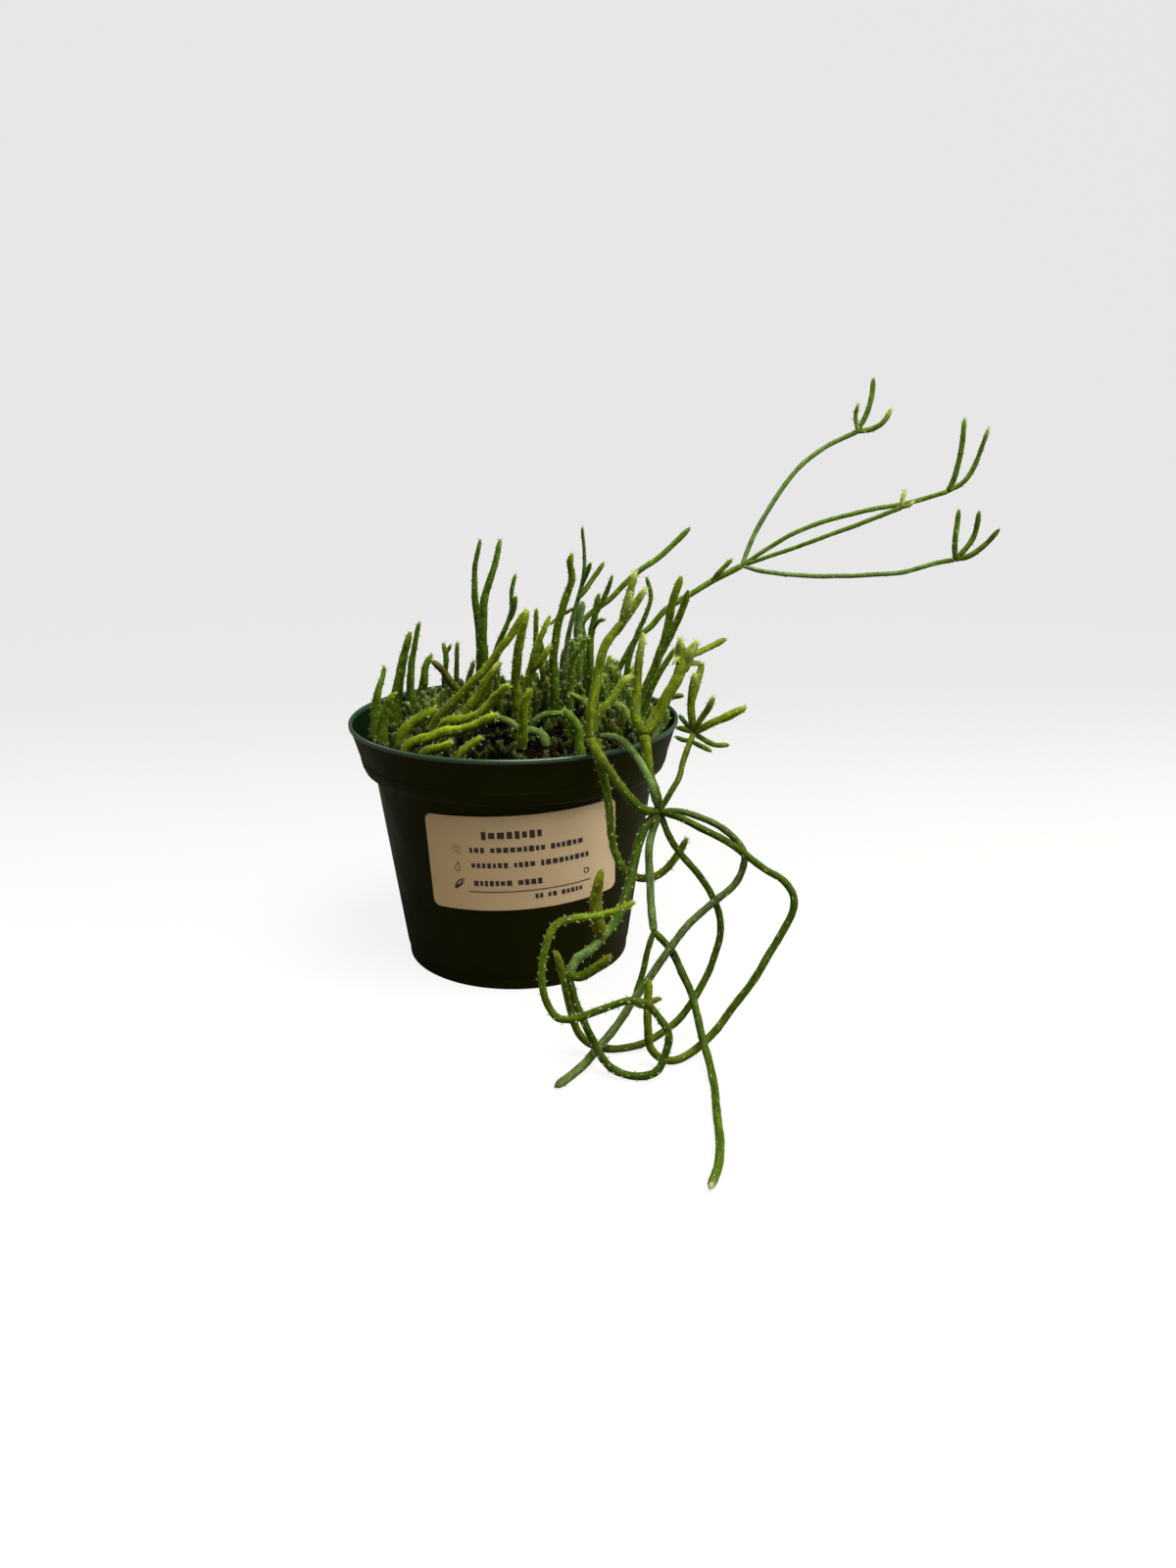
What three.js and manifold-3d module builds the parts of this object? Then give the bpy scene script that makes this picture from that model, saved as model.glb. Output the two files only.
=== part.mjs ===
// A mistletoe cactus (Rhipsalis) in a round nursery pot, with its soil and a blank care label.
// Millimetres, +Z up, front along -Y, origin at the centre of the pot's flat base.
import * as THREE from 'three';
import { mergeVertices } from 'three/addons/utils/BufferGeometryUtils.js';
import Module from 'manifold-3d';

const wasm = await Module();
wasm.setup();

// Pot: a tapered nursery pot with a wide rim band and a stepped foot
const potHeight = 118;
const rimRadius = 78;
const wall = 1.3;
const baseThickness = 2.2;
const footRadius = 54;
const footHeight = 7;
const footStep = 1.2;
const bodyRadius = 66.6;
const bandBottom = 95;
const bandBottomRadius = 71.6;
const potSides = 36;
const drainHoles = 8;
const drainRadius = 4.5;
const drainRing = 45;
const drainSides = 8;

// Soil: fills the pot to below its rim, with a plain hole for each root
const soilTop = 105;
const soilGap = 0.3;
const soilRelief = 0.9;
const soilRings = [0, 18, 36, 54, 67];
const rootBottom = 92;
const edgeRootBottom = 99;
const edgeRoots = 58;
const collar = 106;
const rootTop = 107.2;
const rootExtra = 0.3;
const holeGap = 0.8;
const holeSides = 6;

// Label: a thin sheet wrapped on the front of the wall, turned a little
const labelWidth = 92;
const labelHeight = 47;
const labelThickness = 0.5;
const labelGap = 0.4;
const labelCorner = 3.5;
const labelCentre = { arc: 3.5, z: 66.5 };
const labelTilt = THREE.MathUtils.degToRad(2.8);
const labelColumns = 22;

// Stems
const stemSides = 5;
const stemStep = 12;
const shootStep = 15;
const tipLength = 0.6;

const looks = {
  pot: { color: 0x1c2216, roughness: 0.45, metalness: 0 },
  soil: { color: 0x1a130d, roughness: 1, metalness: 0 },
  label: { color: 0xc9b091, roughness: 0.7, metalness: 0 },
  mature: { color: 0x4c8a3f, roughness: 0.5, metalness: 0 },
  dark: { color: 0x36600f, roughness: 0.5, metalness: 0 },
  young: { color: 0x7d9a1c, roughness: 0.55, metalness: 0 },
};

// Each plant has its root's place in the soil and a list of arms. An arm is its radius at the
// root end, its radius at the tip, and the points of its middle line. The first arm grows from
// the root, and the others from a point that they share with an arm before them.
const plants = {
  trailing_spray: { look: 'mature', root: [38, -24], arms: [
    [1.6, 1.6, [40, -31, 114], [43, -46, 118.5], [47, -62, 120.3], [53, -74, 115], [57, -79, 106],
      [61, -78, 94]],
    [1.9, 2.1, [61, -78, 94], [54, -82, 96], [47, -84, 103], [40, -84, 113], [35, -82, 121],
      [31, -78, 127]],
    [2.1, 1.9, [31, -78, 127], [32, -76, 137], [34, -73, 146], [36, -70, 157], [39, -68, 165],
      [48, -64, 175]],
    [1.7, 1.3, [48, -64, 175], [49, -61, 184], [53, -58, 194]],
    [1.5, 1.2, [48, -64, 175], [49, -67, 182], [50, -70, 189]],
    [1.5, 1.2, [48, -64, 175], [52, -63, 181], [56, -62, 186]],
    [1.9, 1.6, [31, -78, 127], [35, -76, 136], [41, -73, 142], [45, -70, 148], [50, -68, 151]],
    [2.2, 2.4, [61, -78, 94], [59, -78, 103], [57, -76, 108], [56, -72, 118], [55, -69, 126]],
    [2.2, 1.8, [55, -69, 126], [52, -68, 131], [51, -66, 137], [52, -64, 143], [53, -62, 154],
      [55, -60, 163]],
    [2.5, 2.5, [55, -69, 126], [61, -65, 133], [65, -64, 140], [70, -61, 148], [73, -58, 156]],
    [1.7, 1.2, [73, -58, 156], [73, -56, 159], [72, -55, 162]],
    [1.7, 1.2, [73, -58, 156], [75, -59, 160], [78, -60, 162]],
    [1.4, 1.1, [73, -58, 156], [70, -60, 156], [68, -62, 155]],
    [1.3, 1.1, [73, -58, 154], [77, -54, 153], [82, -50, 152]],
    [1.4, 1.3, [73, -58, 156], [81, -53, 158], [93, -46, 162]],
    [1.3, 1.4, [61, -78, 94], [66, -76, 102], [70, -72, 107], [72, -67, 112], [75, -62, 118],
      [78, -58, 123]],
    [1.5, 1.7, [78, -58, 123], [77, -57, 130], [77, -56, 138], [79, -54, 150]],
    [1.4, 1.4, [78, -56, 122], [79, -52, 134], [82, -48, 144], [84, -44, 150]],
    [1.3, 1.4, [78, -58, 123], [80, -61, 129], [83, -63, 135], [85, -66, 141]],
    [1.6, 1.9, [78, -58, 123], [83, -59, 126], [94, -61, 132], [100, -62, 135]],
    [1.2, 1.2, [78, -58, 123], [83, -55, 119], [88, -53, 116], [95, -50, 115]],
    [1.1, 1.1, [76, -60, 120], [80, -65, 119], [84, -70, 118]],
    [1.3, 1.2, [78, -58, 123], [74, -55, 124], [71, -52, 124]],
    [1.1, 1.0, [78, -58, 123], [75, -52, 126], [73, -46, 128]],
    [1.2, 1.1, [76, -60, 120], [73, -58, 120], [70, -56, 121]],
    [1.7, 1.7, [61, -78, 94], [59, -80, 89], [56, -84, 81], [56, -88, 70], [56, -92, 60],
      [57, -97, 47]],
    [1.65, 1.7, [57, -97, 47], [61, -99, 43], [65, -102, 38], [68, -106, 32], [71, -110, 26],
      [73, -117, 18], [75, -127, 9], [76, -135, 4.5], [76, -146, 2.3], [74, -167, 2.2],
      [72, -187, 2.2], [69, -202, 2.2], [64, -215, 2.2]],
    [1.3, 1.3, [57, -97, 47], [54, -100, 39], [52, -103, 31], [48, -105, 20]],
    [1.4, 1.7, [61, -78, 94], [65, -84, 84], [70, -88, 77], [77, -91, 69], [82, -94, 61],
      [85, -97, 53], [85, -99, 45], [82, -101, 35], [78, -103, 26], [72, -106, 17], [66, -109, 11],
      [58, -112, 6], [51, -114, 3.4], [44, -115, 2.3], [36, -116, 2.6], [29, -116, 5],
      [24, -115, 10], [21, -112, 18], [18, -107, 32], [15, -105, 43]],
    [1.35, 1.85, [61, -78, 94], [68, -81, 95], [76, -85, 94], [84, -88, 91], [91, -91, 86],
      [95, -94, 80], [94, -96, 73], [90, -98, 67], [82, -100, 61], [73, -102, 54], [67, -104, 48],
      [61, -106, 40], [55, -108, 32], [49, -110, 24], [44, -113, 18], [39, -116, 12], [34, -120, 8],
      [29, -125, 5], [24, -132, 3.4], [18, -139, 2.7], [13, -145, 2.6]],
    [1.5, 1.7, [61, -78, 94], [68, -86, 94], [78, -91, 90], [87, -95, 86], [95, -99, 81],
      [103, -101, 75], [110, -104, 71], [114, -106, 65], [114, -107, 59], [109, -108, 49],
      [103, -110, 39], [96, -112, 28], [88, -114, 18], [81, -117, 10], [74, -121, 5],
      [67, -125, 2.8], [62, -127, 2.3], [57, -127, 3.6], [53, -126, 8], [52, -125, 15],
      [52, -122, 25], [53, -118, 35]],
    [1.5, 1.3, [52, -122, 25], [55, -121, 27], [58, -120, 27]],
    [1.5, 1.3, [52, -122, 25], [50, -120, 24], [47, -119, 24]],
    [1.9, 2.0, [61, -78, 94], [55, -82, 89], [51, -86, 82], [49, -89, 73], [46, -93, 64],
      [42, -97, 55], [36, -101, 48], [30, -105, 43], [24, -109, 41], [20, -112, 35]],
    [1.9, 2.0, [20, -112, 35], [24, -114, 35], [29, -116, 38], [33, -118, 42], [37, -120, 47]],
    [1.6, 1.45, [20, -112, 35], [22, -117, 28], [25, -122, 21], [29, -127, 13], [33, -132, 7],
      [38, -136, 3.6], [46, -138, 2.3], [54, -138, 4], [58, -136, 11], [59, -135, 19],
      [55, -134, 26], [50, -134, 32], [43, -133, 33], [35, -132, 30], [28, -131, 27], [22, -131, 25],
      [15, -130, 25], [11, -129, 30], [9, -128, 38], [9, -127, 47], [11, -125, 56], [15, -123, 63],
      [22, -121, 64], [31, -119, 64], [39, -117, 65], [47, -115, 68]],
    [2.5, 1.5, [34, -102.3, 46.3], [32.5, -103, 56], [32.5, -103, 67], [34.5, -103, 78]],
  ] },
  hanging_shoot: { look: 'young', root: [38, -37], arms: [
    [2.0, 1.5, [37, -47, 115], [34, -62, 121.5], [34, -70, 121.6], [35, -78, 117], [37, -80, 109],
      [39, -81, 99], [40, -81, 87], [42, -81, 76], [46, -81, 69], [53, -81, 65], [60, -81, 66],
      [66, -81, 71], [70, -80, 77], [73, -79, 82]],
  ] },
  long_branch: { look: 'mature', root: [44, 28], arms: [
    [1.5, 1.5, [50, 27, 128], [56, 26, 141], [61, 26, 149], [68, 26, 155], [75, 26, 163],
      [88, 26, 171], [100, 26, 178], [112, 26, 184]],
    [1.3, 1.1, [97, 26, 176], [101, 23, 182], [106, 20, 188]],
    [1.3, 1.3, [112, 26, 184], [115, 29, 191], [120, 32, 201], [129, 35, 215], [140, 38, 229],
      [154, 41, 239], [170, 44, 246]],
    [1.2, 1.0, [170, 44, 246], [168, 41, 254], [168, 38, 259]],
    [1.4, 1.2, [170, 44, 246], [174, 46, 253], [177, 48, 262], [178, 50, 271]],
    [1.4, 1.2, [170, 44, 246], [177, 45, 247], [183, 45, 251], [187, 46, 257]],
    [1.3, 1.4, [112, 26, 184], [124, 27, 192], [138, 28, 200], [153, 29, 205], [176, 30, 210],
      [195, 31, 213], [213, 32, 218]],
    [1.5, 1.2, [213, 32, 218], [216, 33, 224], [219, 35, 236], [220, 36, 252]],
    [1.5, 1.2, [213, 32, 218], [221, 32, 223], [225, 31, 230], [230, 30, 248]],
    [1.2, 1.3, [112, 26, 184], [123, 24, 188], [134, 22, 192], [144, 20, 196], [166, 18, 204],
      [186, 16, 212]],
    [1.2, 1.0, [186, 16, 212], [186, 16, 216], [187, 16, 220]],
    [1.1, 1.0, [186, 16, 212], [189, 15, 213], [191, 14, 215]],
    [1.4, 1.4, [112, 26, 184], [120, 23, 182], [129, 21, 180], [144, 18, 180], [166, 16, 180],
      [189, 13, 182], [202, 11, 186], [211, 8, 188]],
    [1.4, 1.2, [211, 8, 188], [211, 10, 195], [212, 12, 202], [213, 14, 211]],
    [1.4, 1.2, [211, 8, 188], [215, 7, 193], [219, 7, 200], [220, 6, 211]],
    [1.4, 1.2, [211, 8, 188], [217, 6, 190], [224, 4, 196], [229, 2, 203]],
  ] },
  thin_branch: { look: 'mature', root: [38, 50], arms: [
    [1.3, 1.1, [38, 53, 125], [37, 57, 143], [36, 58, 151], [41, 59, 157], [50, 60, 163],
      [57, 60, 170], [66, 60, 178], [75, 60, 184], [83, 60, 191], [91, 60, 199]],
  ] },
  left_stem_1: { look: 'dark', root: [-66, 5], arms: [
    [2.8, 0.9, [-66, 6, 119], [-64, 6, 130], [-62, 7, 136], [-61, 8, 141]],
  ] },
  left_stem_2: { look: 'young', root: [-63, -6], arms: [
    [2.6, 1.4, [-61, -7, 119], [-58, -8, 128], [-55, -9, 132]],
  ] },
  left_stem_3: { look: 'dark', root: [-60, 22], arms: [
    [2.9, 1.6, [-58, 22, 120], [-55, 21, 133], [-53, 21, 142], [-49, 20, 155]],
  ] },
  left_stem_4: { look: 'young', root: [-51, 20], arms: [
    [2.3, 1.0, [-50, 19, 118], [-50, 17, 130], [-48, 15, 144], [-44, 12, 161]],
  ] },
  left_stem_5: { look: 'dark', root: [-48, 36], arms: [
    [2.8, 1.3, [-47, 36, 117], [-45, 35, 126], [-43, 34, 136], [-40, 34, 141]],
  ] },
  back_stem_1: { look: 'dark', root: [-22, 44], arms: [
    [2.2, 1.6, [-26, 43, 118], [-32, 42, 126], [-37, 41, 133], [-41, 40, 137]],
  ] },
  back_stem_2: { look: 'dark', root: [-36, 50], arms: [
    [1.2, 1.3, [-35, 50, 115], [-35, 49, 127], [-34, 48, 137], [-35, 48, 144]],
    [1.0, 1.2, [-34, 48, 137], [-33, 48, 140], [-31, 47, 143]],
  ] },
  back_stem_3: { look: 'dark', root: [-28, 53], arms: [
    [1.3, 1.1, [-29, 52, 118], [-29, 51, 130], [-28, 50, 144]],
  ] },
  back_stem_4: { look: 'dark', root: [-17, 58], arms: [
    [3.0, 1.0, [-16.5, 57, 125], [-16.5, 56, 142], [-18, 55, 160], [-18.5, 54, 178], [-15, 52, 195]],
  ] },
  back_stem_5: { look: 'dark', root: [-13, 44], arms: [
    [3.2, 1.3, [-14, 44, 122], [-15, 44, 135], [-15, 44, 150], [-13, 44, 168], [-9, 44, 180],
      [-5, 44, 196]],
  ] },
  back_stem_6: { look: 'dark', root: [-6, 34], arms: [
    [1.7, 1.0, [-8, 34, 125], [-8, 34, 142], [-3, 34, 154], [0, 34, 163], [0, 34, 172],
      [2, 34, 180]],
    [1.5, 1.4, [-1, 34, 158], [1, 32, 164], [2, 30, 170]],
  ] },
  arching_stem_1: { look: 'young', root: [-53, -22], arms: [
    [2.3, 2.2, [-51, -22, 116], [-46, -23, 121], [-40, -24, 125], [-35, -24, 128]],
  ] },
  arching_stem_2: { look: 'young', root: [-39, -8], arms: [
    [1.8, 1.7, [-36, -9, 119], [-28, -10, 127], [-20, -11, 136], [-12, -11, 144], [-5, -12, 153],
      [1, -13, 161], [6, -15, 170]],
  ] },
  arching_stem_3: { look: 'young', root: [-35, -19], arms: [
    [1.9, 2.2, [-33, -22, 118], [-29, -25, 122], [-23, -27, 123], [-16, -30, 126], [-9, -33, 133],
      [-2, -40, 142]],
  ] },
  arching_stem_4: { look: 'young', root: [-50, -34], arms: [
    [2.2, 2.1, [-47, -35, 114], [-37, -39, 118], [-31, -41, 121], [-24, -43, 122], [-19, -45, 124],
      [-13, -48, 128], [-7, -50, 131]],
  ] },
  arching_stem_5: { look: 'young', root: [-42, -47], arms: [
    [1.9, 1.9, [-39, -49, 114], [-31, -52, 117], [-27, -54, 120]],
  ] },
  arching_stem_6: { look: 'young', root: [-27, -55], arms: [
    [1.7, 1.5, [-24, -57, 115], [-19, -57, 119], [-14, -58, 123]],
  ] },
  arching_stem_7: { look: 'young', root: [-26, 6], arms: [
    [2.4, 2.0, [-22, 5, 120], [-16, 4, 127], [-12, 2, 135], [-6, 0, 144]],
  ] },
  arching_stem_8: { look: 'dark', root: [-25, 28], arms: [
    [1.4, 1.2, [-23, 26, 121], [-22, 24, 129], [-19, 22, 140]],
  ] },
  middle_stem_1: { look: 'young', root: [1, 0], arms: [
    [2.1, 2.0, [2, -1, 117], [1, -3, 136], [2, -5, 145], [3, -6, 154], [7, -8, 170]],
  ] },
  middle_stem_2: { look: 'dark', root: [11, 36], arms: [
    [1.5, 1.1, [10, 36, 124], [11, 35, 140], [12, 34, 163]],
  ] },
  middle_stem_3: { look: 'young', root: [6, 18], arms: [
    [2.4, 1.2, [6, 17, 122], [8, 16, 133], [10, 14, 144], [14, 13, 154], [18, 12, 163]],
    [1.9, 1.5, [9, 15, 136], [13, 13, 141], [18, 12, 149]],
  ] },
  middle_stem_4: { look: 'young', root: [3, -18], arms: [
    [1.8, 1.7, [4, -20, 119], [5, -22, 130], [8, -24, 136]],
  ] },
  middle_stem_5: { look: 'mature', root: [15, -16], arms: [
    [1.8, 1.7, [13, -14, 111], [8, -12, 113], [2, -10, 114], [-3, -8, 117], [-9, -7, 119]],
  ] },
  middle_stem_6: { look: 'dark', root: [8, -4], arms: [
    [1.3, 1.5, [9, -5, 114], [14, -7, 119], [23, -10, 121]],
  ] },
  middle_stem_7: { look: 'dark', root: [30, -42], arms: [
    [1.9, 1.9, [29, -38, 115], [28, -37, 122], [22, -34, 129]],
  ] },
  middle_stem_8: { look: 'mature', root: [34, -8], arms: [
    [1.7, 1.4, [35, -8, 118], [33, -8, 125], [26, -8, 130]],
  ] },
  middle_stem_9: { look: 'mature', root: [42, -12], arms: [
    [2.0, 2.0, [41, -12, 117], [41, -13, 123], [45, -15, 126], [50, -20, 125], [56, -28, 117]],
  ] },
  right_stem_1: { look: 'young', root: [20, 24], arms: [
    [2.1, 1.6, [20, 23, 127], [20, 22, 142], [22, 21, 156], [25, 20, 168], [29, 19, 179],
      [28, 17, 188], [29, 16, 192]],
  ] },
  right_stem_2: { look: 'mature', root: [26, 42], arms: [
    [1.7, 0.8, [26, 43, 124], [27, 43, 142], [29, 42, 152], [33, 41, 167], [35, 40, 174],
      [36, 39, 181], [35, 38, 202]],
    [1.4, 1.2, [35, 40, 174], [37, 38, 179], [39, 36, 185]],
    [1.4, 1.2, [33, 40, 167], [39, 41, 174], [46, 44, 184]],
    [1.0, 0.9, [31, 41, 162], [25, 44, 158], [19, 46, 153]],
  ] },
  right_stem_3: { look: 'mature', root: [33, 49], arms: [
    [1.7, 1.5, [33, 49, 127], [33, 49, 145], [34, 49, 156], [36, 49, 164]],
  ] },
  right_stem_4: { look: 'dark', root: [38, 12], arms: [
    [2.2, 1.3, [37, 11, 129], [37, 10, 146], [38, 10, 157], [41, 8, 174]],
    [1.5, 0.9, [40, 9, 165], [44, 7, 173], [47, 4, 183]],
    [1.1, 1.0, [39, 9, 158], [41, 8, 161], [44, 6, 162]],
  ] },
  right_stem_5: { look: 'dark', root: [26, 1], arms: [
    [1.6, 1.4, [27, 0, 132], [28, -2, 145], [32, -3, 151], [35, -4, 156]],
  ] },
  right_stem_6: { look: 'young', root: [59, 4], arms: [
    [2.2, 1.8, [61, 4, 123], [66, 3, 135], [69, 2, 144], [72, 2, 153], [75, 1, 169], [79, 0, 183]],
    [1.9, 1.6, [69, 2, 144], [72, 1, 150], [78, -2, 164], [82, -4, 177]],
  ] },
  right_stem_7: { look: 'dark', root: [52, 14], arms: [
    [1.7, 1.0, [54, 14, 128], [57, 14, 144], [60, 13, 154], [64, 13, 163], [66, 12, 172],
      [64, 12, 181]],
  ] },
  right_stem_8: { look: 'dark', root: [59, -10], arms: [
    [1.5, 1.3, [62, -11, 126], [67, -13, 138], [75, -14, 152]],
  ] },
  right_stem_9: { look: 'dark', root: [64, 14], arms: [
    [1.4, 1.3, [70, 5, 122], [75, -2, 126], [80, -8, 128]],
  ] },
  right_stem_10: { look: 'mature', root: [63, -20], arms: [
    [1.5, 1.5, [67, -19, 113], [70, -19, 118], [71, -20, 124]],
  ] },
};

// Clumps of short shoots fill the soil between the named stems, and leave it bare at the front.
// Each grows from one root.
const clumps = {
  count: 13,
  seed: 11,
  reach: 60,
  bare: { left: -24, right: 40, back: 26 },
  rootSpacing: 7.5,
  places: 160,
  stride: 37,
  turn: 2.39996,
  swing: 0.8,
  fewest: 4,
  markSpacing: 3,
  shoots: 5,
  tries: 8,
  short: [8, 18],
  tall: [18, 45],
  across: [-50, 30],
  along: [-40, 5],
  lean: [0.12, 0.62],
  radius: [1.4, 2.1],
  rootRadius: 2.2,
  taper: 0.75,
  clearance: 0.9,
  wallClearance: 70,
  rimTop: 121,
};

function mix(from, to, share) {
  return from + (to - from) * share;
}

// A steady sequence of draws between 0 and 1
function makeDraw(seed) {
  let state = seed;
  return () => {
    state = (state * 16807) % 2147483647;
    return state / 2147483647;
  };
}

// Marks along the arms' middle lines, each with the arm's radius
function traceArms(arms) {
  const marks = [];
  for (const [rootRadius, tipRadius, ...points] of arms) {
    const radius = Math.max(rootRadius, tipRadius);
    for (let i = 1; i < points.length; i += 1) {
      const [from, to] = [points[i - 1], points[i]];
      const span = Math.hypot(to[0] - from[0], to[1] - from[1], to[2] - from[2]);
      const parts = Math.ceil(span / clumps.markSpacing);
      for (let k = 0; k <= parts; k += 1) {
        marks.push([...from.map((value, axis) => mix(value, to[axis], k / parts)), radius]);
      }
    }
  }
  return marks;
}

function isClear(marks, others, clearance) {
  return marks.every((mark) => others.every((other) => {
    const gap = Math.hypot(mark[0] - other[0], mark[1] - other[1], mark[2] - other[2]);
    return gap > mark[3] + other[3] + clearance;
  }));
}

function shareOf([from, to], value) {
  return Math.min(1, Math.max(0, (value - from) / (to - from)));
}

// One shoot: up from the clump's collar, leaning out and straightening towards its tip.
// It is short at the left and the front, and tall at the right and the back.
function drawShoot(root, heading, draw) {
  const tall = shareOf(clumps.across, root[0]) * shareOf(clumps.along, root[1]);
  const [least, most] = clumps.short.map((low, i) => mix(low, clumps.tall[i], tall));
  const length = mix(least, most, draw());
  const lean = mix(...clumps.lean, draw());
  const radius = mix(...clumps.radius, draw());
  const side = [Math.cos(heading), Math.sin(heading)];
  const middle = [length * 0.5 * Math.sin(lean), length * 0.5 * Math.cos(lean)];
  const tip = [length * Math.sin(lean * 0.8), length * Math.cos(lean * 0.8)];
  const place = ([out, up]) => [root[0] + side[0] * out, root[1] + side[1] * out, collar + up];
  return [radius, radius * clumps.taper, place([0, 0]), place(middle), place(tip)];
}

function insidePot(marks) {
  return marks.every(([x, y, z]) => z > clumps.rimTop || Math.hypot(x, y) < clumps.wallClearance);
}

// The first arm starts at the collar, where the root comes out of the soil
function fromCollar({ look, root, arms }) {
  const [[rootRadius, tipRadius, ...points], ...others] = arms;
  const first = [rootRadius, tipRadius, [...root, collar], ...points];
  return { look, root, rootRadius: rootRadius + rootExtra, arms: [first, ...others] };
}

function isBare([x, y]) {
  return x > clumps.bare.left && x < clumps.bare.right && y < clumps.bare.back;
}

function growClump(root, marks, draw) {
  const arms = [];
  for (let shoot = 0; shoot < clumps.shoots; shoot += 1) {
    let found = false;
    for (let trial = 0; trial < clumps.tries && !found; trial += 1) {
      const arm = drawShoot(root, (2 * Math.PI * (shoot + draw())) / clumps.shoots, draw);
      const path = traceArms([arm]);
      found = insidePot(path) && isClear(path, marks, clumps.clearance);
      if (found) {
        arms.push(arm);
      }
    }
  }
  return arms;
}

// Places are taken in turn on a spiral over the soil, where the stems leave room
function growClumps(standing) {
  const draw = makeDraw(clumps.seed);
  const marks = Object.values(standing).flatMap((plant) => traceArms(plant.arms));
  const roots = Object.values(standing).map((plant) => plant.root);
  const grown = {};
  for (let i = 0; i < clumps.places; i += 1) {
    const place = (i * clumps.stride) % clumps.places;
    const turned = place * clumps.turn + clumps.swing * draw();
    const out = clumps.reach * Math.sqrt((place + 0.5) / clumps.places);
    const root = [out * Math.cos(turned), out * Math.sin(turned)];
    const spaced = roots.every(([x, y]) => Math.hypot(x - root[0], y - root[1]) > clumps.rootSpacing);
    const number = Object.keys(grown).length + 1;
    if (spaced && !isBare(root) && number <= clumps.count) {
      const arms = growClump(root, marks, draw);
      if (arms.length >= clumps.fewest) {
        const look = number % 3 === 1 ? 'young' : 'dark';
        grown[`low_clump_${number}`] = { look, root, rootRadius: clumps.rootRadius, arms };
        roots.push(root);
        marks.push(...traceArms(arms));
      }
    }
  }
  return grown;
}

// Closed meshes and solids
function toSolid(geometry) {
  const bare = geometry.index ? geometry.toNonIndexed() : geometry.clone();
  bare.deleteAttribute('normal');
  bare.deleteAttribute('uv');
  const merged = mergeVertices(bare, 1e-4);
  const corners = merged.index.array;
  const kept = [];
  for (let i = 0; i < corners.length; i += 3) {
    const [a, b, c] = [corners[i], corners[i + 1], corners[i + 2]];
    if (a !== b && b !== c && c !== a) {
      kept.push(a, b, c);
    }
  }
  return new wasm.Manifold(new wasm.Mesh({
    numProp: 3,
    vertProperties: new Float32Array(merged.attributes.position.array),
    triVerts: new Uint32Array(kept),
  }));
}

function toGeometry(solid) {
  const mesh = solid.getMesh();
  const geometry = new THREE.BufferGeometry();
  geometry.setAttribute('position', new THREE.BufferAttribute(mesh.vertProperties, 3));
  geometry.setIndex(new THREE.BufferAttribute(mesh.triVerts, 1));
  const flat = geometry.toNonIndexed();
  flat.computeVertexNormals();
  return flat;
}

// A profile of [radius, height] pairs, from the axis round to the axis, turned about Z
function turn(profile, sides) {
  const geometry = new THREE.LatheGeometry(profile.map(([r, z]) => new THREE.Vector2(r, z)), sides);
  return geometry.rotateX(Math.PI / 2);
}

function upright(radius, bottom, top, sides, x, y) {
  const geometry = new THREE.CylinderGeometry(radius, radius, top - bottom, sides);
  return geometry.rotateX(Math.PI / 2).translate(x, y, (top + bottom) / 2);
}

// A round stem with a blunt tip, closed at both ends
function stemGeometry([rootRadius, tipRadius, ...points], step) {
  const line = new THREE.CatmullRomCurve3(points.map((p) => new THREE.Vector3(...p)), false, 'centripetal');
  const steps = Math.max(2, Math.round(line.getLength() / step));
  const frames = line.computeFrenetFrames(steps, false);
  const positions = [];
  const indices = [];
  for (let i = 0; i <= steps; i += 1) {
    const centre = line.getPointAt(i / steps);
    const radius = mix(rootRadius, tipRadius, i / steps) * (i === steps ? 0.8 : 1);
    for (let k = 0; k < stemSides; k += 1) {
      const angle = (2 * Math.PI * k) / stemSides;
      const point = centre.clone()
        .addScaledVector(frames.normals[i], radius * Math.cos(angle))
        .addScaledVector(frames.binormals[i], radius * Math.sin(angle));
      positions.push(...point);
    }
  }
  const tip = line.getPointAt(1).addScaledVector(frames.tangents[steps], tipRadius * tipLength);
  positions.push(...line.getPointAt(0), ...tip);
  const rootIndex = (steps + 1) * stemSides;
  for (let k = 0; k < stemSides; k += 1) {
    const next = (k + 1) % stemSides;
    for (let i = 0; i < steps; i += 1) {
      const [low, high] = [i * stemSides, (i + 1) * stemSides];
      indices.push(low + k, low + next, high + next, low + k, high + next, high + k);
    }
    indices.push(rootIndex, next, k);
    const last = steps * stemSides;
    indices.push(rootIndex + 1, last + k, last + next);
  }
  const geometry = new THREE.BufferGeometry();
  geometry.setAttribute('position', new THREE.Float32BufferAttribute(positions, 3));
  geometry.setIndex(indices);
  return geometry;
}

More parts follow.
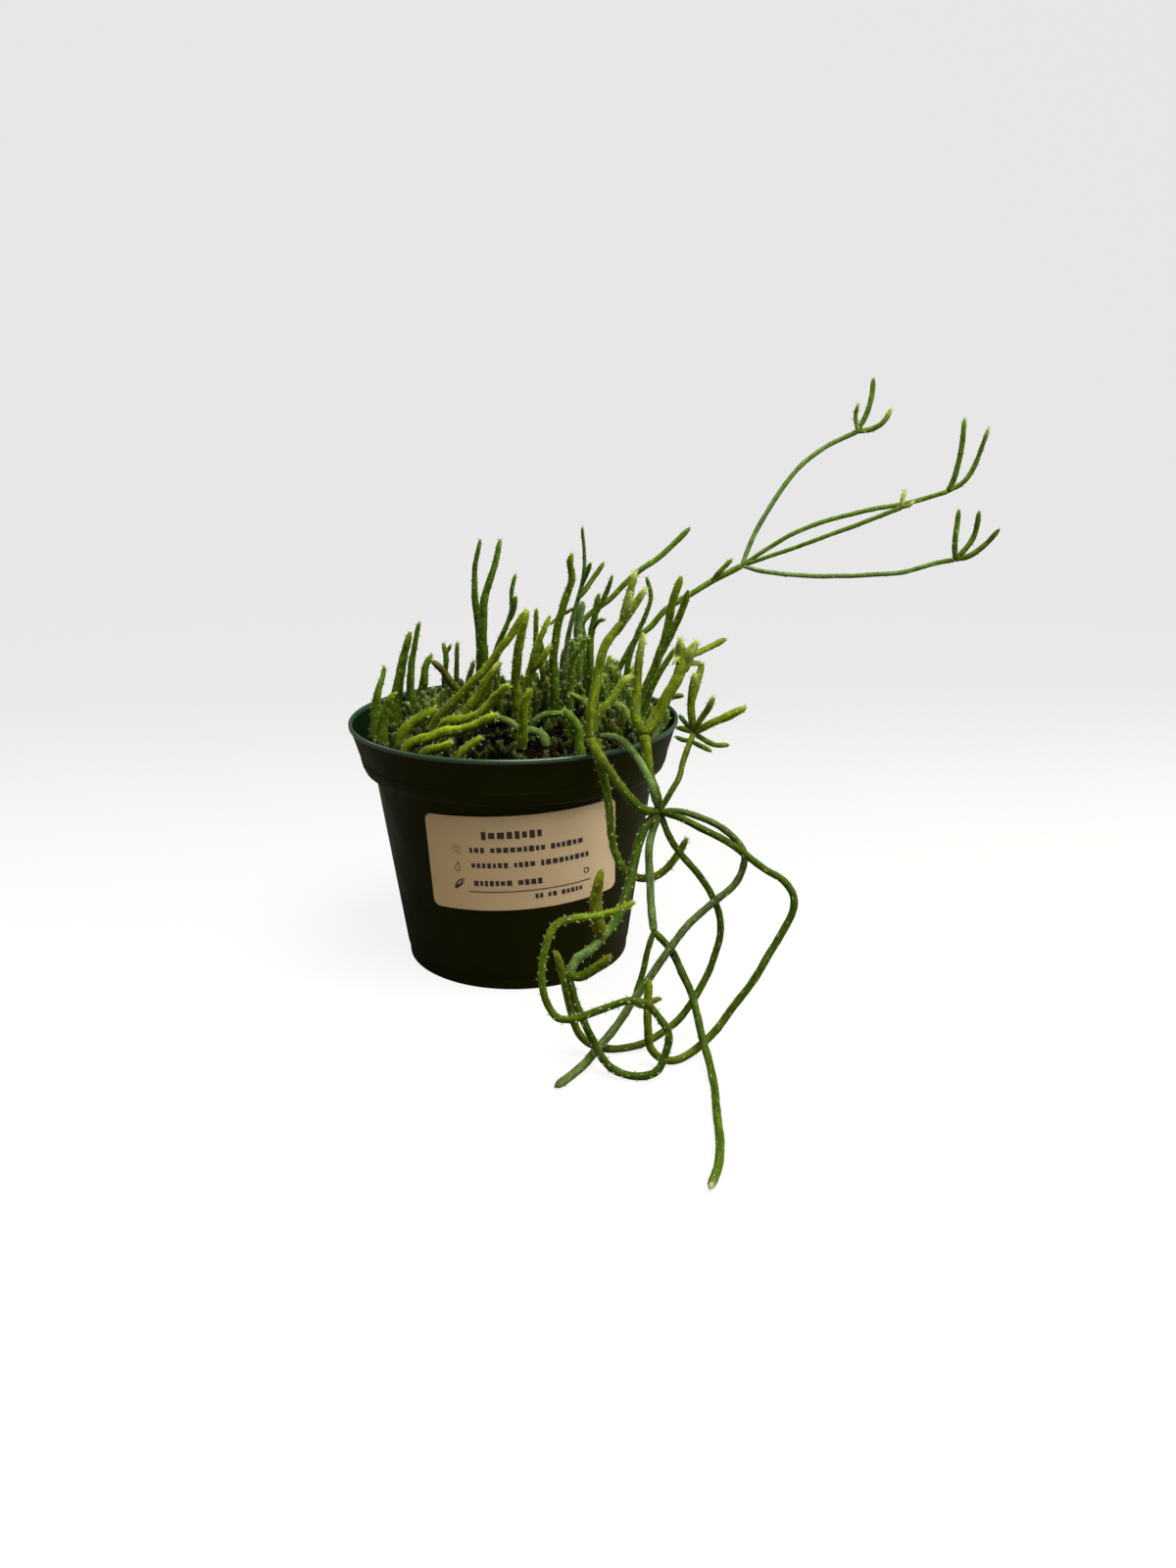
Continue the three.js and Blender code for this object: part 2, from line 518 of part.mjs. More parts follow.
// Outer and inner half-profiles of the pot's wall, from the bottom up
const wallSlope = (bodyRadius - footRadius - footStep) / (bandBottom - footHeight);
const outerWall = [
  [footRadius - 1, 0],
  [footRadius, 1],
  [footRadius + 0.3, footHeight],
  [footRadius + footStep, footHeight + 0.8],
  [bodyRadius, bandBottom - 2],
  [bodyRadius + 1.8, bandBottom - 1.4],
  [bodyRadius + 2, bandBottom],
  [bandBottomRadius - 1, bandBottom + 0.4],
  [bandBottomRadius, bandBottom + 2.4],
  [rimRadius - 0.6, potHeight - 2.2],
  [rimRadius, potHeight - 1.6],
  [rimRadius, potHeight],
];
const innerWall = [
  [footRadius - wall - 1, baseThickness],
  [footRadius - wall + 1, footHeight + 2],
  [bodyRadius - wall, bandBottom - 1],
  [bodyRadius - wall + 0.6, bandBottom + 1],
  [bandBottomRadius - wall - 0.4, bandBottom + 2.4],
  [bandBottomRadius - wall, bandBottom + 4],
  [rimRadius - 1.8, potHeight - 2],
  [rimRadius - 1.6, potHeight],
];

function wallRadius(profile, z) {
  const above = profile.findIndex(([, height], i) => i > 0 && height >= z);
  const [from, to] = [profile[above - 1], profile[above]];
  return mix(from[0], to[0], (z - from[1]) / (to[1] - from[1]));
}

function potGeometry() {
  const profile = [[0, 0], ...outerWall, ...[...innerWall].reverse(), [0, baseThickness]];
  let pot = toSolid(turn(profile, potSides));
  for (let i = 0; i < drainHoles; i += 1) {
    const angle = (2 * Math.PI * (i + 0.5)) / drainHoles;
    const [x, y] = [drainRing * Math.cos(angle), drainRing * Math.sin(angle)];
    pot = pot.subtract(toSolid(upright(drainRadius, -1, baseThickness + 1, drainSides, x, y)));
  }
  return toGeometry(pot);
}

// Roots go less deep over the ledge inside the pot
function rootEnd([x, y]) {
  return Math.hypot(x, y) > edgeRoots ? edgeRootBottom : rootBottom;
}

// The soil follows the inside of the pot and has a gently lumpy top
function soilGeometry(allPlants) {
  const side = innerWall.filter(([, z]) => z < soilTop - 1).map(([r, z]) => [r - soilGap, z + soilGap]);
  const edge = [wallRadius(innerWall, soilTop) - soilGap, soilTop];
  const top = [...soilRings].reverse().map((r) => [r, soilTop]);
  const bed = turn([[0, baseThickness + soilGap], ...side, edge, ...top], potSides / 2);
  const place = bed.attributes.position;
  for (let i = 0; i < place.count; i += 1) {
    const [x, y, z] = [place.getX(i), place.getY(i), place.getZ(i)];
    if (z > soilTop - 0.01 && Math.hypot(x, y) < edge[0] - 0.5) {
      place.setZ(i, z + soilRelief * Math.sin(x * 0.23 + 1) * Math.cos(y * 0.19));
    }
  }
  let soil = toSolid(bed);
  for (const { root, rootRadius } of Object.values(allPlants)) {
    const hole = upright(rootRadius + holeGap, rootEnd(root) - soilGap, rootTop, holeSides, ...root);
    soil = soil.subtract(toSolid(hole));
  }
  return toGeometry(soil);
}

// The label's outline is a rectangle with round corners, laid on the wall in columns
function labelGeometry() {
  const positions = [];
  const indices = [];
  const slope = Math.hypot(1, wallSlope);
  for (let i = 0; i <= labelColumns; i += 1) {
    const across = labelWidth * (0.5 - 0.5 * Math.cos((Math.PI * i) / labelColumns)) - labelWidth / 2;
    const inset = Math.max(0, Math.abs(across) - labelWidth / 2 + labelCorner);
    const cut = labelCorner - Math.sqrt(Math.max(0, labelCorner ** 2 - inset ** 2));
    const half = Math.min(labelHeight / 2, labelHeight / 2 - cut + 0.01);
    for (const [up, out] of [[-half, 0], [half, 0], [half, labelThickness], [-half, labelThickness]]) {
      const s = across * Math.cos(labelTilt) - up * Math.sin(labelTilt);
      const z = labelCentre.z + (up * Math.cos(labelTilt) + across * Math.sin(labelTilt)) / slope;
      const middle = wallRadius(outerWall, labelCentre.z);
      const radius = wallRadius(outerWall, z) + labelGap + out;
      const angle = -Math.PI / 2 + (labelCentre.arc + s) / middle * (1 + (middle - radius) / middle);
      positions.push(radius * Math.cos(angle), radius * Math.sin(angle), z);
    }
  }
  for (let i = 0; i < labelColumns; i += 1) {
    for (let k = 0; k < 4; k += 1) {
      const [a, b] = [i * 4 + k, i * 4 + ((k + 1) % 4)];
      indices.push(a, b, b + 4, a, b + 4, a + 4);
    }
  }
  const end = labelColumns * 4;
  indices.push(0, 3, 2, 0, 2, 1, end, end + 1, end + 2, end, end + 2, end + 3);
  const geometry = new THREE.BufferGeometry();
  geometry.setAttribute('position', new THREE.Float32BufferAttribute(positions, 3));
  geometry.setIndex(indices);
  return toGeometry(toSolid(geometry));
}

// A straight root and the arms, joined where they fork or cross
function plantGeometry({ root, rootRadius, arms }, step) {
  const post = toSolid(upright(rootRadius, rootEnd(root), rootTop, stemSides, ...root));
  const solids = arms.map((arm) => toSolid(stemGeometry(arm, step)));
  return toGeometry(solids.reduce((joined, solid) => joined.add(solid), post));
}

function piece(name, geometry, look) {
  const mesh = new THREE.Mesh(geometry, new THREE.MeshStandardMaterial(looks[look]));
  mesh.name = name;
  return mesh;
}

const standing = Object.fromEntries(
  Object.entries(plants).map(([name, plant]) => [name, fromCollar(plant)]),
);
const grown = growClumps(standing);
const allPlants = { ...standing, ...grown };
const pottedPlant = new THREE.Group();
pottedPlant.add(piece('pot', potGeometry(), 'pot'));
pottedPlant.add(piece('soil', soilGeometry(allPlants), 'soil'));
pottedPlant.add(piece('label', labelGeometry(), 'label'));
for (const [name, plant] of Object.entries(allPlants)) {
  const step = name in grown ? shootStep : stemStep;
  pottedPlant.add(piece(name, plantGeometry(plant, step), plant.look));
}

export default pottedPlant;
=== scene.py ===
import math
import random

import bpy
import numpy as np
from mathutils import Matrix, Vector, noise


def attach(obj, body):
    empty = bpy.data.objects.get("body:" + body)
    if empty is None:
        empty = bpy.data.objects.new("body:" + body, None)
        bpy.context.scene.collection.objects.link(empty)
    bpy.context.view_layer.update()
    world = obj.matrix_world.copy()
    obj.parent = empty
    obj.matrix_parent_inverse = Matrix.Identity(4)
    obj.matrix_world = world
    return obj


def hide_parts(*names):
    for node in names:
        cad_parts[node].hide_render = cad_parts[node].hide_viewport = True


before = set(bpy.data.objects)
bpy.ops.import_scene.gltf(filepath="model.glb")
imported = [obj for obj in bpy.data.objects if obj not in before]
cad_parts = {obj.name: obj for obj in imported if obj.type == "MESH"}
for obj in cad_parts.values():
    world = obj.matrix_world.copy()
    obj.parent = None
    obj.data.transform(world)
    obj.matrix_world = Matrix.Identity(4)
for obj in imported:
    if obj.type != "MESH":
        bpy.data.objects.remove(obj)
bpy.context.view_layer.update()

# Mistletoe cactus in a nursery pot. Sizes are in millimetres unless a note says metres; a texture's
# scale and a bump's depth are per metre and in metres, as Blender has them.
mm = 0.001
goldenTurn = 2.39996


def mix(a, b, share):
    return a + (b - a) * share


def aroundZ(radius, turn):
    return radius * math.cos(turn), radius * math.sin(turn)


def deselectAll():
    if bpy.context.mode != "OBJECT":
        bpy.ops.object.mode_set(mode="OBJECT")
    bpy.ops.object.select_all(action="DESELECT")


def pickOnly(*pieces):
    deselectAll()
    for piece in pieces:
        piece.select_set(True)
    bpy.context.view_layer.objects.active = pieces[0]
    return pieces[0]


def edit(action="SELECT"):
    bpy.ops.object.mode_set(mode="EDIT")
    bpy.ops.mesh.select_all(action=action)


def leaveEdit():
    bpy.ops.object.mode_set(mode="OBJECT")


def settle(piece):  # the object goes to the origin, its place into its mesh
    pickOnly(piece)
    bpy.ops.object.transform_apply(location=True, rotation=True, scale=True)
    return piece


def rename(piece, name):
    piece.name = name
    piece.data.name = name
    return piece


def joinAll(name, pieces):
    piece = pickOnly(*pieces)
    if len(pieces) > 1:
        bpy.ops.object.join()
    return rename(piece, name)


def meshPiece(name, corners, faces, material):
    mesh = bpy.data.meshes.new(name)
    mesh.from_pydata(corners * mm, [], faces)
    mesh.materials.append(material)
    piece = bpy.data.objects.new(name, mesh)
    bpy.context.scene.collection.objects.link(piece)
    return piece


def applyModifier(piece, kind, **settings):
    pickOnly(piece)
    modifier = piece.modifiers.new(kind.title(), kind)
    for key, value in settings.items():
        setattr(modifier, key, value)
    bpy.ops.object.modifier_apply(modifier=modifier.name)


def smooth(piece, degrees):
    pickOnly(piece)
    bpy.ops.object.shade_smooth_by_angle(angle=math.radians(degrees))


def onBody(piece, slot, *nodes):
    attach(piece, "root")
    if nodes:
        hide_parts(*nodes)


def plug(tree, socket, value):  # a link, or a plain value
    if isinstance(value, bpy.types.NodeSocket):
        tree.links.new(value, socket)
    else:
        socket.default_value = (*value, 1) if socket.type == "RGBA" else value


def feed(tree, node, **values):
    for name, value in values.items():
        plug(tree, node.inputs[name.replace("_", " ")], value)
    return node


def addNode(tree, kind, settings=None, **values):
    node = tree.nodes.new(kind)
    for key, value in (settings or {}).items():
        setattr(node, key, value)
    return feed(tree, node, **values)


def placeOf(tree):
    return tree.nodes.new("ShaderNodeTexCoord").outputs["Object"]


def axisOf(tree, place, axis):
    return addNode(tree, "ShaderNodeSeparateXYZ", Vector=place).outputs[axis]


def toneOf(tree):  # the piece's own colour attribute
    return addNode(tree, "ShaderNodeAttribute", {"attribute_name": "tone"}).outputs["Color"]


def noiseOf(tree, place, scale, detail, **more):
    node = addNode(tree, "ShaderNodeTexNoise", Vector=place, Scale=scale, Detail=detail, **more)
    return node.outputs["Fac"]


def rangeOf(tree, value, fromLow, fromHigh, toLow=0.0, toHigh=1.0, kind="LINEAR"):
    return addNode(tree, "ShaderNodeMapRange", {"interpolation_type": kind}, Value=value, From_Min=fromLow,
                   From_Max=fromHigh, To_Min=toLow, To_Max=toHigh).outputs["Result"]


def rampOf(tree, factor, *stops):
    node = addNode(tree, "ShaderNodeValToRGB", Fac=factor)
    for element, (place, colour) in zip(node.color_ramp.elements, stops):
        element.position = place
        element.color = (*colour, 1)
    return node.outputs["Color"]


def blendOf(tree, factor, a, b):
    node = addNode(tree, "ShaderNodeMix", {"data_type": "RGBA"})
    for index, value in ((0, factor), (6, a), (7, b)):
        plug(tree, node.inputs[index], value)
    return node.outputs[2]


def mathOf(tree, operation, a, b):
    node = addNode(tree, "ShaderNodeMath", {"operation": operation})
    plug(tree, node.inputs[0], a)
    plug(tree, node.inputs[1], b)
    return node.outputs[0]


def newMaterial(name, **values):
    material = bpy.data.materials.new(name)
    material.use_nodes = True
    tree = material.node_tree
    return material, tree, feed(tree, tree.nodes["Principled BSDF"], **values)


def makeMottleGroup():  # a colour that wanders lighter and darker, and a height for bump
    group = bpy.data.node_groups.new("mottle", "ShaderNodeTree")
    for direction, names in (("INPUT", ("Colour", "Patches", "Grain", "Depth")),
                             ("OUTPUT", ("Colour", "Height", "Patchiness"))):
        for name in names:
            kind = "NodeSocketColor" if name == "Colour" else "NodeSocketFloat"
            group.interface.new_socket(name=name, in_out=direction, socket_type=kind)
    enter = group.nodes.new("NodeGroupInput").outputs
    place = placeOf(group)
    patches = noiseOf(group, place, enter["Patches"], 3.0)
    grain = noiseOf(group, place, enter["Grain"], 4.0)
    wander = mathOf(group, "ADD", patches, mathOf(group, "MULTIPLY", grain, 0.6))
    lift = mathOf(group, "MULTIPLY", mathOf(group, "SUBTRACT", wander, 0.8), enter["Depth"])
    shade = mathOf(group, "ADD", lift, 1.0)
    tinted = addNode(group, "ShaderNodeVectorMath", {"operation": "SCALE"}, Scale=shade)
    plug(group, tinted.inputs[0], enter["Colour"])
    addNode(group, "NodeGroupOutput", Colour=tinted.outputs[0], Height=grain, Patchiness=patches)
    return group


mottleGroup = makeMottleGroup()


def addMottle(tree, colour, patches, grain, depth):
    return addNode(tree, "ShaderNodeGroup", {"node_tree": mottleGroup},
                   Colour=colour, Patches=patches, Grain=grain, Depth=depth).outputs


def addBump(tree, shader, height, strength, distance):
    bump = addNode(tree, "ShaderNodeBump", Height=height, Strength=strength, Distance=distance)
    feed(tree, shader, Normal=bump.outputs["Normal"])


def mottled(tree, shader, colour, mottle, bump):  # the whole finish of a plain matt piece
    base = addMottle(tree, colour, *mottle)
    feed(tree, shader, Base_Color=base["Colour"])
    addBump(tree, shader, base["Height"], *bump)


studio = {
    "cameraPlace": (0, -0.591, 0.266),  # metres, as all lengths of the studio
    "cameraTurn": (72.8, 0.21, -3.465),
    "lens": 29.25,
    "sweep": [(-3.0, 0), (1.6, 0), (2.0, 0.06), (2.3, 0.24), (2.5, 0.6), (2.56, 1.2), (2.56, 4.0)],
    "sweepWidth": 8,
    "floorNear": (0.1, 0.1, 0.1),
    "floorFar": (0.015, 0.015, 0.015),
    "bounce": (0.2, 0.2, 0.2),  # what the paper throws back on the plant
    "glowNear": (0.87, 0.87, 0.87),  # the paper's own light
    "glowFar": (0.79, 0.79, 0.79),
    "fade": (-0.2, 0.64),  # from near to far, behind the pot's axis
    "air": (1.0, 0.97, 0.8),
    "airStrength": 0.15,
    "wall": (0.79, 0.79, 0.79),
    "lamps": [  # place, aim, size, watts, colour
        ("topSoftbox", (0.28, -0.35, 1.33), (0.03, -0.02, 0.1), 0.9, 36, (1.0, 0.97, 0.84)),
        ("rightSoftbox", (1.1, -0.15, 0.7), (0.03, -0.02, 0.1), 0.8, 8, (1.0, 0.97, 0.82)),
        ("leftBackCard", (-0.8, 0.8, 1.0), (-0.06, 0.0, 0.12), 0.5, 4, (1.0, 0.98, 0.94)),
    ],
}


def makeCamera():
    bpy.ops.object.camera_add(location=studio["cameraPlace"])
    camera = bpy.context.object
    camera.name = "studioCamera"
    camera.rotation_euler = [math.radians(v) for v in studio["cameraTurn"]]
    camera.data.lens = studio["lens"]
    camera.data.sensor_fit = "AUTO"
    camera.data.sensor_width = 36
    camera.data.clip_start = 0.01
    camera.data.dof.use_dof = False
    bpy.context.scene.camera = camera


def makeSweepPaint():  # the paper fades from white to grey for the camera, and is one tone for the lamps
    material, tree, shader = newMaterial("palePaper", Emission_Strength=1, Roughness=0.95,
                                         Specular_IOR_Level=0.1)
    share = rangeOf(tree, axisOf(tree, placeOf(tree), "Y"), *studio["fade"], kind="SMOOTHSTEP")
    seen = tree.nodes.new("ShaderNodeLightPath").outputs["Is Camera Ray"]
    paper = rampOf(tree, share, (0, studio["floorNear"]), (1, studio["floorFar"]))
    glow = rampOf(tree, share, (0, studio["glowNear"]), (1, studio["glowFar"]))
    feed(tree, shader, Base_Color=blendOf(tree, seen, studio["bounce"], paper),
         Emission_Color=blendOf(tree, seen, (0, 0, 0), glow))
    return material


def makeSweep():
    half = studio["sweepWidth"] / 2
    deselectAll()
    bpy.ops.mesh.primitive_plane_add(size=1)
    sweep = bpy.context.object
    sweep.name = "floorSweep"
    (firstY, firstZ), (nextY, nextZ) = studio["sweep"][:2]
    corners = [(-half, firstY, firstZ), (half, firstY, firstZ), (-half, nextY, nextZ), (half, nextY, nextZ)]
    for vertex, corner in zip(sweep.data.vertices, corners):
        vertex.co = corner
    edit("DESELECT")
    leaveEdit()
    for vertex in sweep.data.vertices:
        vertex.select = vertex.co.y == sweep.data.vertices[-1].co.y
    for edge in sweep.data.edges:  # the far edge
        edge.select = all(sweep.data.vertices[i].select for i in edge.vertices)
    bpy.ops.object.mode_set(mode="EDIT")
    for (y, z), (toY, toZ) in zip(studio["sweep"][1:], studio["sweep"][2:]):
        bpy.ops.mesh.extrude_edges_move(TRANSFORM_OT_translate={"value": (0, toY - y, toZ - z)})
    leaveEdit()
    smooth(sweep, 60)
    sweep.data.materials.append(makeSweepPaint())


def makeLamps():
    for name, place, aim, size, watts, colour in studio["lamps"]:
        bpy.ops.object.light_add(type="AREA", location=place)
        lamp = bpy.context.object
        lamp.name = name
        lamp.data.shape = "SQUARE"
        lamp.data.size = size
        lamp.data.energy = watts
        lamp.data.color = colour
        lamp.rotation_euler = (Vector(aim) - Vector(place)).to_track_quat("-Z", "Y").to_euler()


def makeAir():  # dim light from all round, and a pale wall past the paper's edge
    world = bpy.data.worlds.new("studioAir")
    bpy.context.scene.world = world
    world.use_nodes = True
    tree = world.node_tree
    air = feed(tree, tree.nodes["Background"], Color=studio["air"], Strength=studio["airStrength"])
    wall = addNode(tree, "ShaderNodeBackground", Color=studio["wall"])
    seen = tree.nodes.new("ShaderNodeLightPath").outputs["Is Camera Ray"]
    shown = addNode(tree, "ShaderNodeMixShader", Fac=seen)
    plug(tree, shown.inputs[1], air.outputs[0])
    plug(tree, shown.inputs[2], wall.outputs[0])
    feed(tree, tree.nodes["World Output"], Surface=shown.outputs[0])


makeCamera()
makeSweep()
makeLamps()
makeAir()
bpy.context.scene.view_settings.view_transform = "Standard"
print("studio ready")


pot = {
    "sides": 144,
    "outside": [(8, 0), (52.8, 0), (53.9, 0.8), (54.3, 6.7), (54.9, 7.5), (66.5, 92.3), (67.5, 92.6),
                (67.9, 93.2), (67.9, 94.0), (69.9, 94.6), (71.4, 95.9), (72.5, 98.4), (73.1, 101.0),
                (73.2, 101.4), (73.05, 101.8), (77.1, 115.4), (77.9, 115.9), (78, 116.6), (78, 117.5),
                (77.5, 118), (76.9, 118), (76.4, 117.5)],
    "inside": [(76.2, 116), (71, 99.8), (69.9, 98.3), (66, 96.2), (65.3, 94.4), (53.6, 9.6),
               (52.2, 2.2), (8, 2.2)],
    "edge": 0.22,
    "drains": 8,
    "drainRadius": 4.5,
    "drainRing": 45,
    "drillDepth": 6,
    "drillSides": 24,
    "outerTone": (0.0115, 0.0122, 0.0015),
    "innerTone": (0.003, 0.010, 0.003),
    "lip": (0.1157, 0.1166),  # metres, where the rim's lip gets a painted highlight tone and a gloss coat
    "lipHighlightTone": (0.026, 0.056, 0.036),
    "lipGloss": 0.6,
    "dustTone": (0.045, 0.04, 0.018),
    "dustiest": 0.22,
}


def makePotPlastic(name, colour):
    material, tree, shader = newMaterial(name, Specular_IOR_Level=0.045, Specular_Tint=(1.0, 0.85, 0.2),
                                         Coat_Roughness=0.22)
    base = addMottle(tree, colour, 45, 900, 0.5)
    place = placeOf(tree)
    lip = rangeOf(tree, axisOf(tree, place, "Z"), *pot["lip"], kind="SMOOTHSTEP")
    # dust and faint water marks
    marks = noiseOf(tree, place, 28.0, 7.0, Roughness=0.65)
    film = rampOf(tree, marks, (0.55, (0, 0, 0)), (0.78, (pot["dustiest"],) * 3))
    # painted highlight: a lighter teal tone along the rim's lip stands in for its lit line; the coat on it
    # is real gloss
    highlightedLip = blendOf(tree, lip, base["Colour"], pot["lipHighlightTone"])
    feed(tree, shader, Base_Color=blendOf(tree, film, highlightedLip, pot["dustTone"]),
         Roughness=rangeOf(tree, base["Patchiness"], 0.3, 0.7, 0.42, 0.6),
         Coat_Weight=mathOf(tree, "MULTIPLY", lip, pot["lipGloss"]))
    addBump(tree, shader, base["Height"], 0.25, 0.0003)
    return material


def turnedShell(name, profile, sides):  # a ring pulled out and resized from point to point
    radius, height = profile[0]
    deselectAll()
    bpy.ops.mesh.primitive_circle_add(vertices=sides, radius=radius * mm, location=(0, 0, height * mm))
    shell = settle(bpy.context.object)
    edit()
    for (fromRadius, fromHeight), (toRadius, toHeight) in zip(profile, profile[1:]):
        rise = (toHeight - fromHeight) * mm
        bpy.ops.mesh.extrude_edges_move(TRANSFORM_OT_translate={"value": (0, 0, rise)})
        share = toRadius / fromRadius
        bpy.ops.transform.resize(value=(share, share, 1), center_override=(0, 0, toHeight * mm))
    bpy.ops.mesh.select_all(action="SELECT")
    bpy.ops.mesh.fill_holes(sides=0)
    bpy.ops.mesh.normals_make_consistent(inside=False)
    leaveEdit()
    return rename(shell, name)


def makeDrill():  # one bit for all the drain holes
    x, y = aroundZ(pot["drainRing"] * mm, math.pi / pot["drains"])
    deselectAll()
    bpy.ops.mesh.primitive_cylinder_add(vertices=pot["drillSides"], radius=pot["drainRadius"] * mm,
                                        depth=pot["drillDepth"] * mm, location=(x, y, 1 * mm))
    bits = [settle(bpy.context.object)]
    for _ in range(1, pot["drains"]):
        bpy.ops.object.duplicate()
        bpy.ops.transform.rotate(value=2 * math.pi / pot["drains"], orient_axis="Z",
                                 center_override=(0, 0, 0))
        bits.append(bpy.context.object)
    return settle(joinAll("drill", bits))


def makePot():
    shell = turnedShell("nurseryPot", pot["outside"] + pot["inside"], pot["sides"])
    drill = makeDrill()
    applyModifier(shell, "BOOLEAN", operation="DIFFERENCE", object=drill, solver="EXACT")
    bpy.data.objects.remove(drill)
    applyModifier(shell, "BEVEL", width=pot["edge"] * mm, segments=2, limit_method="ANGLE",
                  angle_limit=math.radians(24))
    smooth(shell, 40)
    shell.data.materials.append(makePotPlastic("darkGreenPlastic", pot["outerTone"]))
    shell.data.materials.append(makePotPlastic("innerWallPlastic", pot["innerTone"]))
    for face in shell.data.polygons:
        outward = Vector((face.center.x, face.center.y, 0)).normalized()
        face.material_index = int(face.normal.dot(outward) < -0.3)  # faces that look at the axis
    onBody(shell, "pot", "pot")


makePot()
print("pot made")


soil = {
    "sides": 140,
    "side": [(8, 2.6), (51.6, 2.7), (53, 9.8), (64.9, 94), (65.2, 96.3), (69.6, 98.9), (71.7, 103.4)],
    "top": 104.9,
    "rings": 30,
    "ringSpan": (71.4, 1.5),  # radius of the first and the last ring of the top
    "lumps": (1.3, 0.11),  # height and fineness
    "grains": (0.45, 0.55),
    "slope": (0.6, 4),  # how far and how soon the top drops at the wall
    "tone": (0.004, 0.0033, 0.0024),
    "reach": 70.5,
    "seed": 3,
    "bits": [  # piece, count, sizes, share that stands out, seed and stretch of its lump, finish, tones
        ("soilCrumbs", 1500, (0.35, 1.25), 0.2, 1, (1, 0.85, 0.7),
            "darkCrumb", (0.003, 0.0025, 0.002), (0.012, 0.009, 0.006)),
        ("barkChips", 110, (1.1, 2.6), 0.15, 2, (1.2, 0.6, 0.22),
            "barkChip", (0.008, 0.006, 0.004), (0.05, 0.032, 0.02)),
        ("grit", 34, (0.6, 1.5), 0.3, 4, (1, 0.8, 0.8),
            "paleGrit", (0.08, 0.055, 0.04), (0.3, 0.23, 0.16)),
    ],
}


def makeSoilMix():
    material, tree, shader = newMaterial("pottingMix", Roughness=0.95, Specular_IOR_Level=0.0)
    mottled(tree, shader, soil["tone"], (220, 1400, 2.2), (0.9, 0.0012))
    return material


def makeCrumb(name, dark, pale):
    material, tree, shader = newMaterial(name, Roughness=0.85, Specular_IOR_Level=0.03)
    spread = noiseOf(tree, placeOf(tree), 130.0, 2.0)
    mottled(tree, shader, rampOf(tree, spread, (0.42, dark), (0.7, pale)), (600, 2400, 0.9), (0.6, 0.0005))
    return material


def soilHeight(x, y):
    place = Vector((x, y, 0))
    (lump, lumpFineness), (grain, grainFineness) = soil["lumps"], soil["grains"]
    lumps = noise.fractal(place * lumpFineness, 1.0, 2.0, 3) * lump
    return soil["top"] + lumps + noise.noise(place * grainFineness) * grain


def makeSoil():
    steps = [(i / soil["rings"]) ** 0.92 for i in range(soil["rings"] + 1)]
    inwards = [(mix(*soil["ringSpan"], step), soil["top"]) for step in steps]
    bed = turnedShell("pottingMix", soil["side"] + inwards, soil["sides"])
    drop, width = soil["slope"]
    for vertex in bed.data.vertices:
        x, y, z = (v / mm for v in vertex.co)
        if z > soil["top"] - 0.2:
            edge = min(1, (soil["ringSpan"][0] + 0.1 - math.hypot(x, y)) / width)
            vertex.co.z = mix(soil["top"] - drop, soilHeight(x, y), max(0, edge)) * mm
    smooth(bed, 70)
    bed.data.materials.append(makeSoilMix())
    onBody(bed, "soil", "soil")


def crumbShape(seed, stretch):  # one rough lump, about a millimetre in radius
    deselectAll()
    bpy.ops.mesh.primitive_ico_sphere_add(subdivisions=1, radius=1)
    shape = bpy.context.object
    draw = random.Random(seed)
    for vertex in shape.data.vertices:
        vertex.co *= draw.uniform(0.7, 1.15)
        vertex.co = Vector([a * b for a, b in zip(vertex.co, stretch)])
    corners = np.array([vertex.co for vertex in shape.data.vertices])
    faces = [tuple(face.vertices) for face in shape.data.polygons]
    bpy.data.objects.remove(shape)
    return corners, faces


def scatterBits(draw, name, count, sizes, standing, seed, stretch, *finish):
    corners, faces = crumbShape(seed, stretch)
    places, allFaces = [], []
    while len(places) < count:
        out = soil["reach"] * math.sqrt(draw.random())
        x, y = aroundZ(out, draw.uniform(0, 2 * math.pi))
        size = mix(*sizes, draw.random() ** 2)
        facing = Vector((draw.gauss(0, 1), draw.gauss(0, 1), draw.gauss(0, 1)))
        spin = np.array(facing.to_track_quat("X", "Z").to_matrix())
        lift = soilHeight(x, y) + size * standing
        allFaces += [tuple(i + len(places) * len(corners) for i in face) for face in faces]
        places.append(corners @ spin.T * size + (x, y, lift))
    onBody(meshPiece(name, np.concatenate(places), allFaces, makeCrumb(*finish)), "soil")


makeSoil()
bitDraw = random.Random(soil["seed"])
for bits in soil["bits"]:
    scatterBits(bitDraw, *bits)
print("potting mix made")


